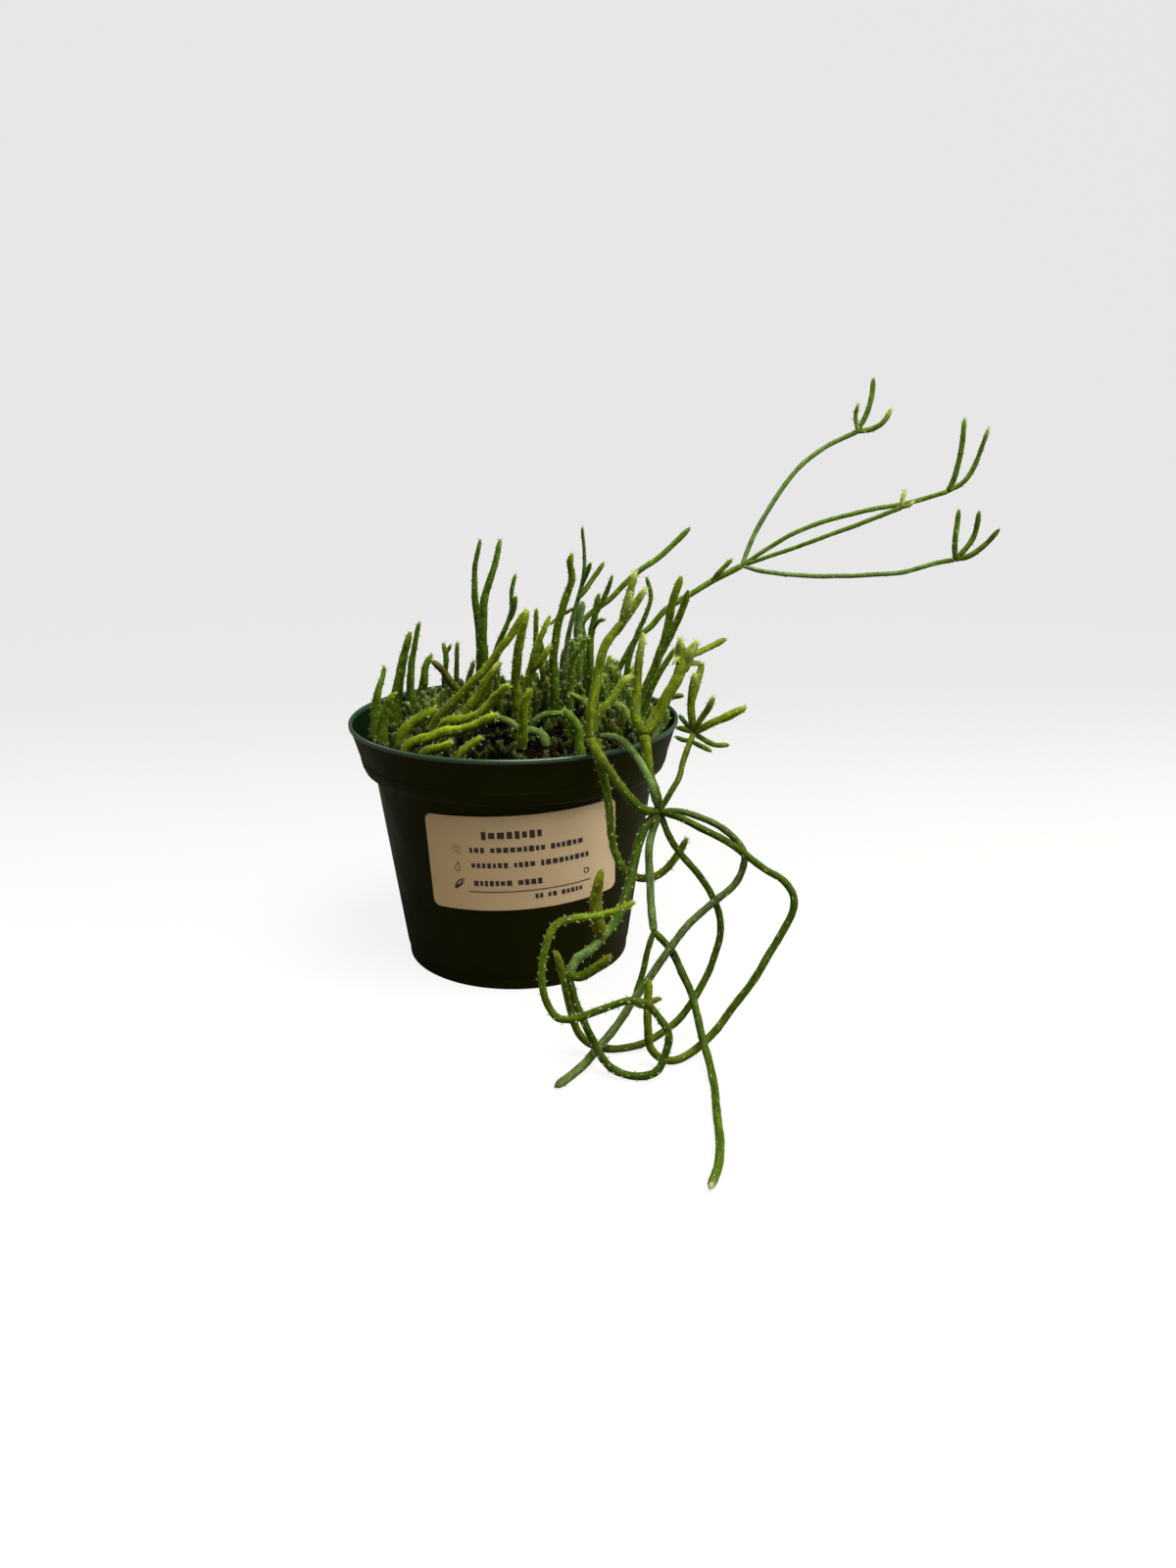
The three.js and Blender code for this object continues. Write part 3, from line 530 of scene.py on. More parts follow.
label = {
    "size": (92, 47),
    "corner": 3.5,
    "centre": (3.5, 66.5),  # arc from the front line, height
    "tilt": 2.8,
    "gap": 0.25,
    "thickness": 0.3,
    "column": 1.6,
    "wall": ((54.9, 7.5), (66.5, 92.3)),
    "paper": (0.73, 0.555, 0.38),
    "fibre": (0.26, 0.17, 0.1),
    "leftShadeTone": (0.665, 0.45, 0.235),
    "leftShadeSpan": (-0.025, 0.045, 0.75, 0.0),  # painted shade on the label's left side, metres across: from there, to there; shares
    "ink": (0.03, 0.018, 0.02),
    "fadedInk": (0.3, 0.22, 0.15),
    "printGap": 0.02,
    "printThickness": 0.06,
    # rows of short blocks that read as no text: from, to, height on the label, block height
    "rows": [(-18.7, 10.6, 14.2, 4.0), (-24.6, 27.2, 7.0, 2.9), (-24.2, 30.6, -0.6, 2.9),
             (-23.7, 7.5, -9.6, 2.9), (3.5, 28.6, -17.2, 2.5)],
    "block": (0.45, 0.8),  # width, as shares of the row's height
    "blockHeight": (0.75, 1.0),
    "spaces": (0.28, 0.95),  # between blocks, and now and then wider
    "closeSpaces": 0.82,  # share of the narrow ones
    "rule": (-26.6, 30.6, -14.0, 0.45),
    # plain signs: shape, across, up, half height, turn in degrees, line width or 0 for a filled one
    "signs": [("drop", -31, -1.5, 2.6, -12, 0.4), ("leaf", -31.3, -10.4, 3.3, -38, 0),
              ("leaf", -30.2, -9.6, 3.0, -38, 0.35), ("round", 28.6, -9.0, 1.5, 0, 0.55)],
    "fadedSign": ("round", -31, 7.2, 1.5, 0, 0.5),
    "signSides": 20,
    "rays": 8,
    "rayReach": (2.1, 2.9),
    "rayWidth": 0.4,
    "seed": 8,
}


def makeLabelPaper():
    material, tree, shader = newMaterial("kraftPaper", Roughness=0.6, Specular_IOR_Level=0.3)
    base = addMottle(tree, label["paper"], 40, 1600, 0.16)
    place = placeOf(tree)
    fibres = noiseOf(tree, place, 420.0, 6.0, Roughness=0.7)
    flecks = rampOf(tree, fibres, (0.6, (0, 0, 0)), (0.78, (0.3, 0.3, 0.3)))
    colour = blendOf(tree, flecks, base["Colour"], label["fibre"])
    # painted shade: the paper turns darker and browner towards the label's left side
    leftShade = rangeOf(tree, axisOf(tree, place, "X"), *label["leftShadeSpan"])
    feed(tree, shader, Base_Color=blendOf(tree, leftShade, colour, label["leftShadeTone"]))
    creases = noiseOf(tree, place, 55.0, 1.0, Distortion=1.5)
    addBump(tree, shader, mathOf(tree, "ADD", creases, base["Height"]), 0.25, 0.0006)
    return material


def makeInk(name, colour):
    material, tree, shader = newMaterial(name, Roughness=0.65)
    mottled(tree, shader, colour, (300, 2000, 0.8), (0.1, 0.0001))
    return material


def wallAt(height):
    (lowRadius, low), (highRadius, high) = label["wall"]
    return mix(lowRadius, highRadius, (height - low) / (high - low))


def wrapOnWall(piece, gap):  # lays a flat piece, drawn across X and up Y, on the pot's wall
    arc, height = label["centre"]
    tilt = math.radians(label["tilt"])
    slope = math.hypot(1, wallAt(1) - wallAt(0))
    middle = wallAt(height)
    for vertex in piece.data.vertices:
        across, up = vertex.co.x / mm, vertex.co.y / mm
        along = across * math.cos(tilt) - up * math.sin(tilt)
        z = height + (up * math.cos(tilt) + across * math.sin(tilt)) / slope
        radius = wallAt(z) + gap
        angle = -math.pi / 2 + (arc + along) / middle * (1 + (middle - radius) / middle)
        vertex.co = Vector((*aroundZ(radius, angle), z)) * mm


def turnFlat(x, y, turn):
    return x * math.cos(turn) - y * math.sin(turn), x * math.sin(turn) + y * math.cos(turn)


def flatCard(name, across, up, width, height, corner=0.0, column=0.0):
    deselectAll()
    bpy.ops.mesh.primitive_plane_add(size=1, location=(across * mm, up * mm, 0))
    card = bpy.context.object
    card.name = name
    card.scale = (width * mm, height * mm, 1)
    settle(card)
    edit()
    if corner:
        bpy.ops.mesh.bevel(affect="VERTICES", offset=corner * mm, segments=6)
    cuts = int(width / column) if column else 0
    for i in range(1, cuts):
        bpy.ops.mesh.select_all(action="SELECT")
        x = (across - width / 2 + width * i / cuts) * mm
        bpy.ops.mesh.bisect(plane_co=(x, 0, 0), plane_no=(1, 0, 0))
    leaveEdit()
    return card


signShapes = {  # half width at a turn round the sign's own middle
    "round": lambda turn: math.sin(turn),
    "drop": lambda turn: 0.72 * math.sin(turn) * abs(math.sin(turn / 2)) ** 1.4,
    "leaf": lambda turn: 0.42 * math.sin(turn) * abs(math.sin(turn)) ** 0.6,
}


def flatSign(shape, across, up, size, degrees, line):
    sides = label["signSides"]
    deselectAll()
    bpy.ops.mesh.primitive_circle_add(vertices=sides, radius=1, fill_type="NGON")
    sign = bpy.context.object
    sign.name = shape
    for i, vertex in enumerate(sign.data.vertices):
        turn = 2 * math.pi * (i + 0.5) / sides
        x, y = turnFlat(signShapes[shape](turn) * size, math.cos(turn) * size, math.radians(degrees))
        vertex.co.x = (across + x) * mm
        vertex.co.y = (up + y) * mm
    edit()
    bpy.ops.mesh.normals_make_consistent(inside=False)
    if line:
        bpy.ops.mesh.inset(thickness=line * mm)
        bpy.ops.mesh.delete(type="FACE")  # leaves a ring
    leaveEdit()
    return sign


def layOnLabel(name, pieces, ink):
    printed = joinAll(name, pieces)
    wrapOnWall(printed, label["gap"] + label["thickness"] + label["printGap"])
    applyModifier(printed, "SOLIDIFY", thickness=label["printThickness"] * mm, offset=1)
    printed.data.materials.append(ink)
    onBody(printed, "label")


def makeLabel():
    sheet = flatCard("careLabel", 0, 0, *label["size"], label["corner"], label["column"])
    wrapOnWall(sheet, label["gap"])
    applyModifier(sheet, "SOLIDIFY", thickness=label["thickness"] * mm, offset=1)
    smooth(sheet, 40)
    sheet.data.materials.append(makeLabelPaper())
    onBody(sheet, "label", "label")


def makePrint():
    draw = random.Random(label["seed"])
    close, wide = label["spaces"]
    blocks = []
    for start, end, up, high in label["rows"]:
        across = start
        while across < end - 0.8:
            width = draw.uniform(*label["block"]) * high
            share = draw.uniform(*label["blockHeight"])
            blocks.append(flatCard("block", across + width / 2, up, width, high * share))
            across += width + high * (close if draw.random() < label["closeSpaces"] else wide)
    start, end, up, high = label["rule"]
    blocks.append(flatCard("rule", (start + end) / 2, up, end - start, high, 0, label["column"]))
    blocks += [flatSign(*sign) for sign in label["signs"]]
    layOnLabel("labelPrint", blocks, makeInk("brownInk", label["ink"]))


def makeFadedPrint():  # a small ring with rays
    signs = [flatSign(*label["fadedSign"])]
    _, across, up, *_ = label["fadedSign"]
    near, far = label["rayReach"]
    for i in range(label["rays"]):
        ray = flatCard("ray", (near + far) / 2, 0, far - near, label["rayWidth"])
        for vertex in ray.data.vertices:
            x, y = turnFlat(vertex.co.x, vertex.co.y, 2 * math.pi * i / label["rays"])
            vertex.co.x = across * mm + x
            vertex.co.y = up * mm + y
        signs.append(ray)
    layOnLabel("fadedPrint", signs, makeInk("fadedInk", label["fadedInk"]))


makeLabel()
makePrint()
makeFadedPrint()
print("label made")


stem = {
    "step": 1.5,
    "roundness": 3,  # bevel resolution of the tubes
    "collar": 106,
    "rootDepths": (99.5, 102.5),
    "tones": {
        "blue": (0.082, 0.136, 0.038),
        "dull": (0.060, 0.094, 0.024),
        "shade": (0.012, 0.027, 0.003),
        "leaf": (0.059, 0.109, 0.006),
        "dark": (0.037, 0.072, 0.004),
        "moss": (0.068, 0.088, 0.003),
        "amber": (0.10, 0.11, 0.004),
        "olive": (0.079, 0.116, 0.004),
        "lime": (0.136, 0.192, 0.006),
        "brown": (0.07, 0.05, 0.012),
        "pale": (0.31, 0.37, 0.085),
        "woolly": (0.27, 0.33, 0.07),
        "cut": (0.45, 0.38, 0.22),  # a dried cut end
    },
    "endLength": {"pale": 7, "woolly": 15, "cut": 3},  # these tones keep to the end of the stem
    "fresher": (0.72, 1.22),  # share of the tone at the root and at the tip
    "shaded": (0.05, 30, 70),  # share of the tone at the mix, height and radius of the shaded part
    "streaks": (0.2, 5),  # strength, and length in rings
    "streakLimits": (0.45, 1.7),
    "flecks": (3.0, 2.6, 5.0),  # the skin's pale flecks, over its own tone
    "fleckSize": 1050.0,
    "wobble": (0.5, 0.09, 9),  # width, fineness, and length without any at both ends
    "wobbleSeed": 7,
    "bulge": (0.1, 0.3),  # share of the radius, fineness
    "tip": 2.8,  # length of the rounded tip over its radius
    "joint": 0.7,  # the same where the next part of the stem goes on
    "dome": (0, 30, 54, 73, 86),
    "fork": (0.76, 5),  # a side stem starts slimmer by this share, over this length
    "thicker": (0.4, 16),  # at the root, by this share, fading over this length
    "woollyThicker": 0.04,
    "plump": (0.9, 3),  # above this woolliness shoots swell in their middle, by how much
    "wool": (0.44, 0.53, 0.23),
    "tipWool": (0.64, 0.70, 0.33),
    "woolTones": (0.25, 1.3),
    # pairs from here on are for a smooth stem and for a woolly one
    "areoleGap": (2.4, 0.75),
    "spotLength": (0.8, 0.32),
    "spotWidth": (0.16, 0.24),
    "spotHeight": 0.2,
    "bristles": (1.8, 12),
    "bristleLength": (1.4, 1.5),
    "bristleWidth": (0.075, 0.08),
    "tuft": (4, 24),
    "youngLength": 10,  # of the woollier tip
    "youngWool": 0.25,  # how much stouter its bristles are
}


def makeStemSkin():  # green skin; its tone comes from the stem's own colour attribute
    material, tree, shader = newMaterial(
        "stemSkin", Specular_IOR_Level=0.1, Specular_Tint=(1.0, 1.0, 0.5), Sheen_Weight=0.12,
        Sheen_Roughness=0.4, Sheen_Tint=(0.7, 0.85, 0.15), Subsurface_Weight=0.3,
        Subsurface_Radius=(0.8, 1.0, 0.3), Subsurface_Scale=0.0016)
    base = addMottle(tree, toneOf(tree), 300, 1300, 1.6)
    place = placeOf(tree)
    cells = addNode(tree, "ShaderNodeTexVoronoi", {"feature": "F1"}, Vector=place, Scale=stem["fleckSize"])
    flecks = rampOf(tree, cells.outputs["Distance"], (0.1, (0.6, 0.6, 0.6)), (0.34, (0, 0, 0)))
    bright = addNode(tree, "ShaderNodeVectorMath", {"operation": "MULTIPLY"})
    plug(tree, bright.inputs[0], base["Colour"])
    plug(tree, bright.inputs[1], stem["flecks"])
    feed(tree, shader, Base_Color=blendOf(tree, flecks, base["Colour"], bright.outputs[0]),
         Roughness=rangeOf(tree, base["Patchiness"], 0.3, 0.7, 0.45, 0.65))
    swell = mathOf(tree, "MULTIPLY", noiseOf(tree, place, 480.0, 2.0), 0.8)
    addBump(tree, shader, mathOf(tree, "ADD", base["Height"], swell), 0.35, 0.0004)
    return material


def makeBristle():  # pale bristles and the woolly spots that they grow from
    material, tree, shader = newMaterial("paleBristle", Roughness=0.7, Specular_IOR_Level=0.25)
    mottled(tree, shader, toneOf(tree), (500, 3000, 0.5), (0.2, 0.0001))
    return material


def smoothRoute(points):  # a centripetal curve through the points
    points = np.array(points, float)
    padded = np.vstack([2 * points[0] - points[1], points, 2 * points[-1] - points[-2]])
    share = np.linspace(0, 1, 20, endpoint=False)[:, None]
    parts = []
    for a, b, c, d in zip(padded, padded[1:], padded[2:], padded[3:]):
        before, middle, after = (np.linalg.norm(q - p) ** 0.5 for p, q in ((a, b), (b, c), (c, d)))
        leave = ((b - a) / before - (c - a) / (before + middle) + (c - b) / middle) * middle
        arrive = ((c - b) / middle - (d - b) / (middle + after) + (d - c) / after) * middle
        parts.append(b + leave * share + (3 * (c - b) - 2 * leave - arrive) * share ** 2
                     + (2 * (b - c) + leave + arrive) * share ** 3)
    return np.vstack(parts + [points[-1:]])


def shapeArm(arm, forked, goesOn):  # places, radii and share of the way, ring by ring
    fuzz, rootRadius, tipRadius, *points = arm[2:]
    route = smoothRoute(points)
    travelled = np.concatenate([[0], np.cumsum(np.linalg.norm(np.diff(route, axis=0), axis=1))])
    length = travelled[-1]
    dome = np.radians(stem["dome"])
    tipLength = min(tipRadius * stem["joint" if goesOn else "tip"], length * 0.6)
    body = np.linspace(0, length - tipLength, max(3, round(length / stem["step"])), endpoint=False)
    far = np.concatenate([body, length - tipLength * (1 - np.sin(dome))])
    places = np.stack([np.interp(far, travelled, route[:, k]) for k in range(3)], axis=1)
    radii = mix(rootRadius, tipRadius, far / length)
    radii[-len(dome):] *= np.cos(dome)
    radii *= 1 + stem["woollyThicker"] * fuzz
    woolliest, swell = stem["plump"]
    radii *= 1 + max(0, fuzz - woolliest) * swell * np.sin(math.pi * far / length)
    if forked:
        share, reach = stem["fork"]
        radii *= mix(share, 1, np.clip(far / reach, 0, 1))
    elif places[0, 2] < stem["collar"] + 1:
        share, reach = stem["thicker"]
        radii *= 1 + share * np.exp(-far / reach)
    width, fineness, ends = stem["wobble"]
    wander = np.array([noise.noise_vector(Vector(place) * fineness) for place in places])
    fade = np.clip(np.minimum(far, length - far) / ends, 0, 1)[:, None]
    places = places + wander * fade * width * min(1, 0.3 + fuzz * 1.4)
    bulge, fineness = stem["bulge"]
    radii *= 1 + bulge * np.array([noise.noise(Vector(place) * fineness) for place in places])
    # what lies on the floor doesn't sink into it
    places[:, 2] = np.where(places[:, 2] < 8, np.maximum(places[:, 2], radii + 0.1), places[:, 2])
    return places, radii, far / length, length


def colourArm(arm, share, length):
    start, end = (np.array(stem["tones"][name]) for name in arm[:2])
    if arm[1] in stem["endLength"]:
        reach = stem["endLength"][arm[1]]
        blend = np.clip((share * length - (length - reach)) / reach, 0, 1) ** 1.5
    else:
        blend = share ** (1.3 + length / 120)
    tones = mix(start, end, blend[:, None])
    if arm[5][2] < stem["collar"] + 1:
        tones = tones * mix(*stem["fresher"], share)[:, None]
    return tones


def shadeAt(places):  # low shoots are darker near the mix
    share, height, inside = stem["shaded"]
    low = mix(share, 1, np.clip((places[:, 2] - stem["collar"]) / height, 0, 1))
    return np.where(np.hypot(places[:, 0], places[:, 1]) < inside, low, 1)[:, None]


def streaked(tones, draw):  # a tone for every corner round the stem, in streaks along it
    around = 4 + 2 * stem["roundness"]
    strength, rings = stem["streaks"]
    sums = np.cumsum(draw.normal(0, 1, (len(tones) + rings, around)), axis=0)
    streaks = (sums[rings:] - sums[:-rings]) / math.sqrt(rings)
    lift = np.clip(1 + streaks * strength, *stem["streakLimits"])
    return (tones[:, None] * lift[:, :, None]).reshape(-1, 3)


def framesAlong(places):  # forward, side and across of every ring, without twist
    forward = np.gradient(places, axis=0)
    forward /= np.linalg.norm(forward, axis=1)[:, None]
    side = np.cross(forward[0], (0.31, 0.95, 0.05))
    sides = []
    for ahead in forward:
        side = side - ahead * (side @ ahead)
        side = side / np.linalg.norm(side)
        sides.append(side)
    sides = np.array(sides)
    return forward, sides, np.cross(forward, sides)


def unit(vectors):
    return vectors / np.linalg.norm(vectors, axis=1)[:, None]


def ringWay(sides, across, turn):  # the way out of the stem at a turn round it
    return sides * np.cos(turn) + across * np.sin(turn)


def pointedShapes(base, up, along, halfAlong, halfAcross, heights, corners):  # low domes or spikes
    along = unit(along - up * np.sum(along * up, axis=1)[:, None])
    across = np.cross(up, along)
    turns = 2 * math.pi * np.arange(corners) / corners
    ring = (base[:, None] + np.cos(turns)[None, :, None] * (along * halfAlong)[:, None]
            + np.sin(turns)[None, :, None] * (across * halfAcross)[:, None])
    return np.concatenate([ring, (base + up * heights[:, None])[:, None]], axis=1)


def woolOnArm(arm, places, radii, share, length, goesOn, draw):  # areoles with their bristles
    fuzz = arm[2]

    def forWool(name):
        return mix(*stem[name], fuzz)
    forward, sides, across = framesAlong(places)
    count = max(1, int((length - 1) / forWool("areoleGap")))
    at = np.interp((np.arange(count) + draw.uniform(0.2, 0.8)) / count, share, np.arange(len(share)))
    low = np.clip(at.astype(int), 0, len(share) - 2)
    rest = (at - low)[:, None]
    centre = mix(places[low], places[low + 1], rest)
    radius = mix(radii[low][:, None], radii[low + 1][:, None], rest)
    turn = (np.arange(count) * goldenTurn + draw.normal(0, 0.25, count))[:, None]
    out = ringWay(sides[low], across[low], turn)
    ahead = forward[low]
    skin = centre + out * radius
    sizes = draw.uniform(0.75, 1.2, (count, 1))
    spots = pointedShapes(skin - out * 0.08, out, ahead, forWool("spotLength") * sizes,
                          forWool("spotWidth") * sizes, np.full(count, stem["spotHeight"]), 5)
    which = np.repeat(np.arange(count), max(1, round(forWool("bristles"))))
    lying = max(0, 1 - fuzz * 2)  # on a smooth stem the hairs lie along it
    lean = out[which] * mix(1, 0.1, lying) + ahead[which] * draw.uniform(0.1, 1.3, (len(which), 1)) \
        + draw.normal(0, mix(0.38, 0.08, lying), (len(which), 3))
    tips = 0 if goesOn else int(forWool("tuft"))  # and a tuft at the tip
    ring = ringWay(sides[-1:], across[-1:], draw.uniform(0, 2 * math.pi, (tips, 1)))
    tuftBase = places[-3:-2] + ring * radii[-3] * draw.uniform(0.3, 1, (tips, 1))
    tuftLean = forward[-1:] * 1.2 + ring * draw.uniform(0.1, 0.9, (tips, 1))
    base = np.vstack([skin[which] - out[which] * 0.1, tuftBase])
    up = unit(np.vstack([lean, tuftLean]))
    young = np.clip(1 - (1 - share[low]) * length / min(stem["youngLength"], length * 0.4), 0, 1)
    if goesOn:
        young *= 0
    nearTip = np.concatenate([young, young[which], np.ones(tips)])
    stout = 1 + stem["youngWool"] * nearTip[count:]
    lengths = forWool("bristleLength") * draw.uniform(0.6, 1.25, len(base)) * stout
    width = forWool("bristleWidth") * stout[:, None]
    spikes = pointedShapes(base, up, np.roll(up, 1, axis=1) + 0.013, width, width, lengths, 3)
    wool = mix(np.array(stem["wool"]), np.array(stem["tipWool"]), nearTip[:, None])
    wool = wool * draw.uniform(*stem["woolTones"], (len(wool), 1)) * mix(0.55, 1, min(1, fuzz * 2.5))
    return spots, spikes, wool


def paint(piece, tones):
    layer = piece.data.color_attributes.new(name="tone", type="FLOAT_COLOR", domain="POINT")
    layer.data.foreach_set("color", np.c_[tones, np.ones(len(tones))].ravel())
    return piece


def growTubes(name, shapes):
    curve = bpy.data.curves.new(name, "CURVE")
    curve.dimensions = "3D"
    curve.bevel_depth = mm
    curve.bevel_resolution = stem["roundness"]
    for places, radii, _ in shapes:
        line = curve.splines.new("POLY")
        line.points.add(len(places) - 1)
        line.points.foreach_set("co", np.c_[places * mm, np.ones(len(places))].ravel())
        line.points.foreach_set("radius", radii)
    tubes = bpy.data.objects.new(name, curve)
    bpy.context.scene.collection.objects.link(tubes)
    pickOnly(tubes)
    bpy.ops.object.convert(target="MESH")
    tubes = paint(bpy.context.object, np.vstack([tones for _, _, tones in shapes]))
    edit()
    bpy.ops.mesh.fill_holes(sides=0)  # closes both ends of every tube
    leaveEdit()
    tubes.data.materials.clear()
    tubes.data.materials.append(stemSkin)
    return tubes


def growWool(name, wools):
    corners, faces, tones = [], [], []
    start = 0
    for spots, spikes, wool in wools:
        for shapes, shapeTones in ((spots, wool[:len(spots)]), (spikes, wool[len(spots):])):
            around = shapes.shape[1] - 1
            for _ in shapes:
                ring = [start + k for k in range(around)]
                faces += [(ring[k], ring[(k + 1) % around], start + around) for k in range(around)]
                faces.append(tuple(ring[::-1]))
                start += around + 1
            corners.append(shapes.reshape(-1, 3))
            tones.append(np.repeat(shapeTones, around + 1, axis=0))
    corners = np.vstack(corners)
    corners[:, 2] = np.maximum(corners[:, 2], 0.1)  # above the floor
    return paint(meshPiece(name, corners, faces, paleBristle), np.vstack(tones))


def growPlant(name, arms, fromCollar):  # all the arms of one plant, as one piece
    draw = np.random.default_rng(sum(name.encode()))
    shapes, wools = [], []
    starts = {arm[5] for arm in arms[1:]}
    for i, arm in enumerate(arms):
        goesOn = arm[-1] in starts
        places, radii, share, length = shapeArm(arm, i > 0 and not fromCollar, goesOn)
        tones = colourArm(arm, share, length)
        spots, spikes, wool = woolOnArm(arm, places, radii, share, length, goesOn, draw)
        if fromCollar:
            tones = tones * shadeAt(places)
            wool = wool * shadeAt(np.vstack([spots[:, -1], spikes[:, -1]]))
        shapes.append((places, radii, streaked(tones, draw)))
        wools.append((spots, spikes, wool))
    return joinAll(name, [growTubes(name, shapes), growWool(name + "Wool", wools)])


def rootOf(arm, root):  # the short straight piece that goes into the mix
    heights = (*stem["rootDepths"], stem["collar"] + 0.4)
    return (arm[0], arm[0], 0, arm[3], arm[3], *((*root, height) for height in heights))


stemSkin = makeStemSkin()
paleBristle = makeBristle()
noise.seed_set(stem["wobbleSeed"])  # or the noise would start from the clock

